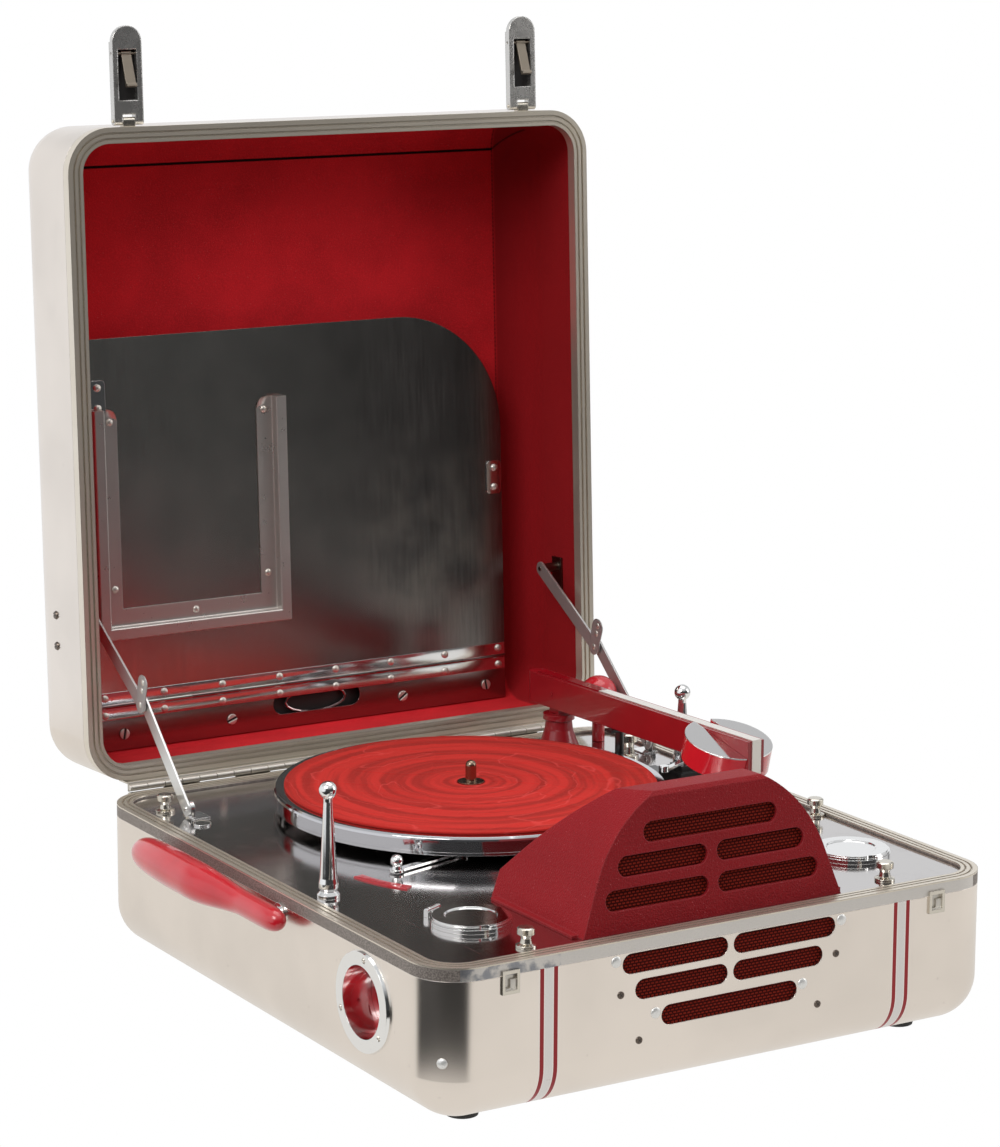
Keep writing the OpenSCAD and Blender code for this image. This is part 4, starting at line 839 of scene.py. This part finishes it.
def on_side(x, y, z, out=1):
    """Places (a, b, height) on a face across x, from its point (y, z), heights counted out along x."""
    return lambda a, b, h: np.stack([x + out * h, y + a, z + b], axis=-1)


def on_top(z):
    """Places (x, y, height) on a level face."""
    return lambda x, y, h: np.stack([x, y, z + h], axis=-1)


def pressed_channel():
    """A pressed strip round three sides, and the spots of its rivets. Its section, from the inside out, is a
    flat flange, a wall that rises, a flat top and a wall that falls to the plate; the strip is mitred at the
    two lower corners, and the flange's upper ends are rounded as quarter circles."""
    x0, x1, v0, v1 = -161.0, -14.0, 84.0, 242.0
    wide, end_radius = 20.0, 7.5
    section = [(0, 0), (0, 0.9), (1, 0.9), (2.5, 0.9), (4.5, 0.9), (7.5, 0.9), (11.4, 0.9), (12, 1.5),
               (12, 7.3), (12.7, 8), (19.3, 8), (20, 7.3), (20, 0)]
    rows = []
    for u, h in section:
        d = wide - u
        top = v1 - end_radius * (1 - math.sqrt(1 - max(0.0, 1 - u / end_radius) ** 2))
        rows.append([(x0 + d, top, h), (x0 + d, v0 + d, h), (x1 - d, v0 + d, h), (x1 - d, top, h)])
    grid = np.array(rows, float)
    n = len(section)
    points = lid_fit(PLATE_W)(*grid.reshape(-1, 3).T)
    faces = [list(f) for f in grid_faces(n, 4, wrap_rows=True)]
    faces.append([4 * k for k in range(n)])
    faces.append([4 * k + 3 for k in range(n)][::-1])
    obj = smooth_by_angle(linked("pressed_channel", points, faces), 25)
    left, right = x0 + wide - 5.5, x1 - wide + 5.5
    heads = [(right, v1 - 9), (right, v0 + 34), ((x0 + x1) / 2 + 2, v0 + wide - 6), (left, v1 - 9),
             (left, v0 + 34)]
    return obj, [(x, v, PLATE_W - 0.8) for x, v in heads]


def rivets(name, spots):
    """Domed heads on the lid's inner side at (x, v, w)."""
    radius, height = 2.6, 1.5
    centres = [lid_point(*spot) for spot in spots]
    up = lid_point(0, 0, 0) - lid_point(0, 0, 1)
    return dome_heads(name, np.array(centres), up, radius, height)


def slotted_heads(name, spots, radius):
    """Round screw heads, each two half discs with a slot between, on the lid at (x, v, w, turn)."""
    parts = []
    for x, v, w, turn in spots:
        for half in (0, 180):
            a = np.radians(np.linspace(13, 167, 14) + half + turn)
            ring = np.column_stack([x + radius * np.cos(a), v + radius * np.sin(a)])
            parts.append(outline_solid(name, ring, -0.2, 1.3, lid_fit(w), 0.5))
    return joined(name, *parts)


def screw_beds(name, spots, radius):
    """Near-black discs seen through the slots of the screws at (x, v, w, turn): painted shade in the slots.
    """
    return joined(name, *(outline_solid(name, disc(x, v, radius), -0.2, 0.3, lid_fit(w), 0.1)
                          for x, v, w, _ in spots))


class GRAMOPHONE_OT_plate(bpy.types.Operator):
    """Makes the record plate's hinge band, pressed channel, rivets and screws"""
    bl_idname = "gramophone.plate"
    bl_label = "Plate fittings"

    def execute(self, context):
        metals = bpy.data.materials
        channel, heads = pressed_channel()
        paint(channel, metals["pressed strip"])
        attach(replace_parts(channel, "plate_channel"), "plate")
        bands = []
        for name, v0, v1 in (("upper_band", 37.9, 46.8), ("lower_band", 27.6, 36.1)):
            ring = rounded_rect(-162.6, v0, 164.6, v1, 0.5)
            bands.append(outline_solid(name, ring, 0.0, 0.5, lid_fit(PLATE_W), 0.2))
        steps = [-157.0 + 45.14 * k for k in range(8)]
        band_w, clip_w = 65.3, 64.2
        high = rivets("plate_rivets", heads + [(x, 43.0, band_w) for x in steps]
                      + [(x, v + s, clip_w) for x, v in ((158, 169), (-155, 250)) for s in (-7, 7)])
        low = rivets("strip_rivets", [(x, 31.0, band_w) for x in steps])
        spots = [(x, 17, PLATE_W, turn) for x, turn in ((-143, 80), (-60, 20), (78, 35), (148, 100))]
        screws = slotted_heads("strip_screws", spots, 3.7)
        # A near-black pan and discs under the slotted screws: painted shade.
        slot_pan = outline_solid("slot_pan", rounded_rect(-33, 12, 49, 34, 3), 0.0, 0.8, lid_fit(71.5), 0.2)
        beds = joined("dark_beds", slot_pan, screw_beds("screw_beds", spots, 3.9))
        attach(paint(beds, metals["recess shade black"]), "lid")
        for obj, body in zip(bands, ("plate", "lid")):
            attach(paint(obj, metals["chrome"]), body)
        for obj, body in ((high, "plate"), (low, "lid"), (screws, "lid")):
            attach(paint(obj, metals["nickel"]), body)
        return {"FINISHED"}


def teardrop(low_r, high_r, length, lean):
    """The outline round two circles and their tangents: the low one at (0, 0), the high one length away,
    turned by lean degrees."""
    tilt = math.acos((low_r - high_r) / length)
    points = []
    for a in np.linspace(tilt, 2 * math.pi - tilt, 20):
        points.append((low_r * math.cos(a), low_r * math.sin(a)))
    for a in np.linspace(-tilt, tilt, 20):
        points.append((length + high_r * math.cos(a), high_r * math.sin(a)))
    return rotated(points, lean)


class GRAMOPHONE_OT_stays(bpy.types.Operator):
    """Makes the bars of the stays, the lobes at their elbows with rivets, and the left foot's washer"""
    bl_idname = "gramophone.stays"
    bl_label = "Stays"

    def execute(self, context):
        metals = bpy.data.materials
        lean = 106.0
        reach = math.radians(lean)
        left_x, right_x = -174.3, 181.2
        for body, x, elbow in (("left_upper_stay", left_x, (208.9, 156.1)),
                               ("right_upper_stay", right_x, (206.9, 155.1))):
            place = on_side(x, *elbow, -1)
            lobe = outline_solid("stay_lobe", teardrop(5.4, 6.2, 15.0, lean)[::-1], 0.0, 0.8, place, 0.4)
            spots = [place(d * math.cos(reach), d * math.sin(reach), 0.7) for d in (0.0, 10.5, 16.5)]
            heads = dome_heads("lobe_rivets", np.array(spots), (-1, 0, 0), 2.2, 0.8)
            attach(paint(lobe, metals["stay steel"]), body)
            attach(paint(heads, metals["nickel"]), body)
        left_elbow, right_elbow, stud = (208.87, 156.12), (206.87, 155.09), (279.75, 198.82)
        # The lower left stay takes the lighter copy of the stay steel: painted light.
        for node, body, metal, x, low, high in (
                ("stay_lower_left", "left_lower_stay", "stay steel painted light", -172.1, (149.0, 99.0), left_elbow),
                ("stay_upper_left", "left_upper_stay", "stay steel", left_x, left_elbow, stud),
                ("stay_lower_right", "right_lower_stay", "stay steel", 183.4, (143.0, 99.0), right_elbow),
                ("stay_upper_right", "right_upper_stay", "stay steel", right_x, right_elbow, stud)):
            dy, dz = high[0] - low[0], high[1] - low[1]
            ring = teardrop(4.9, 4.9, math.hypot(dy, dz), math.degrees(math.atan2(dz, dy)))
            link = outline_solid(node + "_bar", ring, 0.0, 1.6, on_side(x, *low), 0.3)
            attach(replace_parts(paint(link, metals[metal]), node), body)
        profile = [(0.01, 0), (5.8, 0), (5.8, 0.7), (5.2, 1.0), (3.4, 1.0), (3.0, 0.5), (0.01, 0.5)]
        washer = turned_solid("foot_washer", profile, (-169.0, 131.5, DECK_Z + 0.02))
        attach(paint(washer, metals["nickel"]), "base")
        return {"FINISHED"}


class GRAMOPHONE_OT_hinge(bpy.types.Operator):
    """Makes the strips and the roll of the hinge, the hasps' inner pans and the keepers' tongues"""
    bl_idname = "gramophone.hinge"
    bl_label = "Hinge and hasps"

    def execute(self, context):
        metals = bpy.data.materials
        ring = rounded_rect(-HINGE_HALF, -6.2, HINGE_HALF, -0.15, 0.4)
        lid_strip = outline_solid("hinge_lid_strip", ring, 0.0, 1.0, lid_fit(-4.2), 0.2)
        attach(paint(lid_strip, metals["nickel"]), "lid")
        rolls = []
        knuckles, roll_v, roll_w = 27, -3.4, -6.9
        for k in range(knuckles):
            mid = HINGE_HALF * ((2 * k + 1) / knuckles - 1)
            path = [lid_point(mid + d, roll_v, roll_w) for d in (-6.3, -6.2, 6.2, 6.3)]
            rolls.append(tube("hinge_roll", path, [1.6, 1.9, 1.9, 1.6], 16))
        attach(paint(joined("hinge_roll", *rolls), metals["nickel"]), "lid")

        ring = rounded_rect(-HINGE_HALF, 216.6, HINGE_HALF, 223.2, 0.4)
        base_strip = outline_solid("hinge_base_strip", ring, 0.0, 1.0, on_top(85.1), 0.2)
        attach(paint(base_strip, metals["nickel"]), "base")
        for side, x in (("left", -KEEPER_X), ("right", KEEPER_X)):
            ring = rounded_rect(x - 7.4, 450.5, x + 7.4, 484.8, 1.0)
            # A near-black pan inside each hasp: painted shade.
            pan = outline_solid("hasp_pan", ring, 0.0, 0.6, lid_fit(11.6), 0.1)
            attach(paint(pan, metals["recess shade black"]), side + "_hasp")
            ring = rounded_rect(x - 5.4, 76.4, x + 5.4, 89.6, 0.6)
            back = outline_solid("keeper_back", ring, -0.8, 0.1, on_front, 0.1)
            ring = rounded_rect(x - 0.4, 76.6, x + 5.2, 84.6, 0.5)
            tongue = outline_solid("keeper_tongue", ring, 0.0, 1.5, on_front, 0.4)
            ring = rounded_rect(x - 3.8, 76.4, x + 5.2, 79.4, 0.5)
            foot = outline_solid("keeper_foot", ring, 0.0, 1.8, on_front, 0.4)
            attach(paint(back, metals["nickel"]), "base")
            hook = joined("keeper_tongue", tongue, foot)
            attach(paint(hook, metals["nickel"]), "base")
        return {"FINISHED"}


class GRAMOPHONE_OT_screws(bpy.types.Operator):
    """Makes the screws of the case front: pale domes, small dark crossed ones, and the corner stud"""
    bl_idname = "gramophone.screws"
    bl_label = "Front screws"

    def execute(self, context):
        metals = bpy.data.materials
        places = ((-80.4, 82.7), (80.4, 82.7), (-52.6, 47.6), (52.6, 47.6))
        pale = np.array([(x, FRONT_Y - 0.75, z) for x, z in places])
        bar = [(-1.5, -0.2), (1.5, -0.2), (1.5, 0.2), (-1.5, 0.2)]
        dark, crosses = [], []
        for x, z in ((-77, 62.3), (77, 62.3), (-64, 33), (64, 33)):
            dark.append(outline_solid("small_screw", disc(x, z, 2.3), 0.0, 1.5, on_front, 0.6))
            # The crosses of the small screws, near black: painted shade in their slots.
            for turn in (45, 135):
                ring = rotated(bar, turn, (x, z))
                crosses.append(outline_solid("small_cross", ring, 1.0, 1.6, on_front, 0.05))
        out = np.array([-math.sqrt(0.5), -math.sqrt(0.5), 0.0])
        stud = dome_heads("corner_stud", np.array([-164.0, -181.0, 39.0]) + out * 38.4, out, 3.2, 1.6)
        heads = joined("front_screws", dome_heads("front_heads", pale, [0, -1, 0], 3.5, 1.3), stud)
        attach(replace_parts(paint(heads, metals["pale heads"]), "case_screws"), "base")
        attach(paint(joined("small_screws", *dark), metals["dark studs"]), "base")
        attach(paint(joined("screw_slots", *crosses), metals["recess shade black"]), "base")
        return {"FINISHED"}


# Stage


def camera():
    """The camera fitted to the photograph."""
    azimuth, elevation, roll = 0.542, 0.181, 0.003
    focal, centre = 3479.86, (460.93, 501.08)
    at = (-1144.35, -1809.84, 701.10)
    level = math.cos(elevation)
    forward = np.array([math.sin(azimuth) * level, math.cos(azimuth) * level, -math.sin(elevation)])
    right = np.array([math.cos(azimuth), -math.sin(azimuth), 0.0])
    up = np.cross(right, forward)
    c, d = math.cos(roll), math.sin(roll)
    right, up = c * right + d * up, c * up - d * right
    data = bpy.data.cameras.new("camera")
    data.sensor_fit = "HORIZONTAL"
    data.sensor_width = 36.0
    data.lens = focal * data.sensor_width / PICTURE[0]
    data.shift_x = (PICTURE[0] / 2 - centre[0]) / PICTURE[0]
    data.shift_y = (centre[1] - PICTURE[1] / 2) / PICTURE[0]
    data.clip_end = 20.0
    obj = add("camera", data)
    place = np.eye(4)
    place[:3] = np.column_stack([right, up, -forward, np.array(at) * MM])
    obj.matrix_world = Matrix(place.tolist())
    bpy.context.scene.camera = obj


def area_light(name, at, to, size, power, colour=(1.0, 0.98, 0.96)):
    """A soft rectangular light at a point, facing another."""
    data = bpy.data.lights.new(name, "AREA")
    data.shape = "RECTANGLE"
    data.size, data.size_y = size
    data.energy = power
    data.color = colour
    obj = add(name, data)
    obj.location = at
    obj.rotation_euler = (Vector(to) - Vector(at)).to_track_quat("-Z", "Y").to_euler()


def world_light():
    """White to the camera. To the pieces, a dim room with a pale ceiling, pale panels to the left and right
    and a pale backdrop, and dark behind the camera."""
    net = Net("room", "worlds")
    bpy.context.scene.world = net.owner
    x, y, z = net.split(net.node("ShaderNodeTexCoord").outputs["Generated"])
    ceiling = z.ramp(0.26, 0.8) * 0.64
    left = (x * -0.93 + y * 0.1 + z * 0.3).ramp(0.72, 0.88) * 0.9
    right = (x * 0.90 + y * -0.25 + z * 0.3).ramp(0.80, 0.92) * 0.8
    backdrop = y.ramp(0.15, 0.6) * z.ramp(0.9, 0.3) * 0.85
    light = ceiling.maximum(left).maximum(right).maximum(backdrop) + 0.05
    colour = net.mix(light, (0.0, 0.0, 0.0), (0.97, 0.98, 1.0))
    net.white_to_camera("ShaderNodeBackground", colour, 1.0, "ShaderNodeOutputWorld")


def table_top():
    """A glowing pale table, plain white to the camera and dark in a wedge before the front left corner."""
    radius, height, around = 900.0, -7.05, 96
    a = np.linspace(0, 2 * np.pi, around, endpoint=False)
    points = np.stack([radius * np.cos(a), radius * np.sin(a), np.full_like(a, height)], axis=-1)
    floor = mesh_object("table", points, [list(range(around))])
    net = Net("table paper")
    x, y, _ = net.place()
    case_corner = (-188.0, -205.0)
    dx, dy = x - case_corner[0], y - case_corner[1]
    far = (dx * dx + dy * dy) ** 0.5
    toward = (dx * -0.87 + dy * -0.5) / (far + 1.0)
    dark = toward.ramp(0.36, 0.56) * far.ramp(95.0, 145.0)
    colour = net.mix(dark, (0.86, 0.84, 0.81), (0.03, 0.03, 0.03))
    net.white_to_camera("ShaderNodeEmission", colour, 0.92, "ShaderNodeOutputMaterial")
    paint(floor, net.owner)


class GRAMOPHONE_OT_stage(bpy.types.Operator):
    """Sets up the camera, the room, the lights and the table"""
    bl_idname = "gramophone.stage"
    bl_label = "Stage"

    def execute(self, context):
        camera()
        world_light()
        table_top()
        area_light("key", (-1.3, -0.6, 1.5), (0, 0, 0.15), (1.0, 0.8), 15)
        area_light("top", (0.2, 0.1, 1.6), (0, 0, 0.1), (1.4, 1.0), 7)
        area_light("right", (1.5, -0.9, 0.8), (0, 0, 0.15), (0.5, 1.0), 4)
        scene = context.scene
        scene.view_settings.view_transform = "Standard"
        scene.render.resolution_x, scene.render.resolution_y = PICTURE
        return {"FINISHED"}


class GRAMOPHONE_PT_panel(bpy.types.Panel):
    """Lists the sizes, colours and steps"""
    bl_idname = "GRAMOPHONE_PT_panel"
    bl_label = "Gramophone"
    bl_space_type = "VIEW_3D"
    bl_region_type = "UI"
    bl_category = "Gramophone"

    def draw(self, context):
        for key in GramophoneLooks.__annotations__:
            self.layout.prop(context.scene.gramophone_looks, key)
        for step in STEPS:
            self.layout.operator(step.bl_idname)


STEPS = (GRAMOPHONE_OT_finishes, GRAMOPHONE_OT_mat, GRAMOPHONE_OT_handle, GRAMOPHONE_OT_plate,
         GRAMOPHONE_OT_stays, GRAMOPHONE_OT_hinge, GRAMOPHONE_OT_screws, GRAMOPHONE_OT_stage)
CLASSES = (GramophoneLooks, *STEPS, GRAMOPHONE_PT_panel)


def register():
    """Registers the classes and the settings."""
    for cls in CLASSES:
        bpy.utils.register_class(cls)
    bpy.types.Scene.gramophone_looks = PointerProperty(type=GramophoneLooks)


def unregister():
    """Takes the settings and the classes away again."""
    del bpy.types.Scene.gramophone_looks
    for cls in reversed(CLASSES):
        bpy.utils.unregister_class(cls)


def main():
    """Runs every step."""
    register()
    for step in STEPS:
        group, name = step.bl_idname.split(".")
        getattr(getattr(bpy.ops, group), name)()


if __name__ == "__main__":
    main()
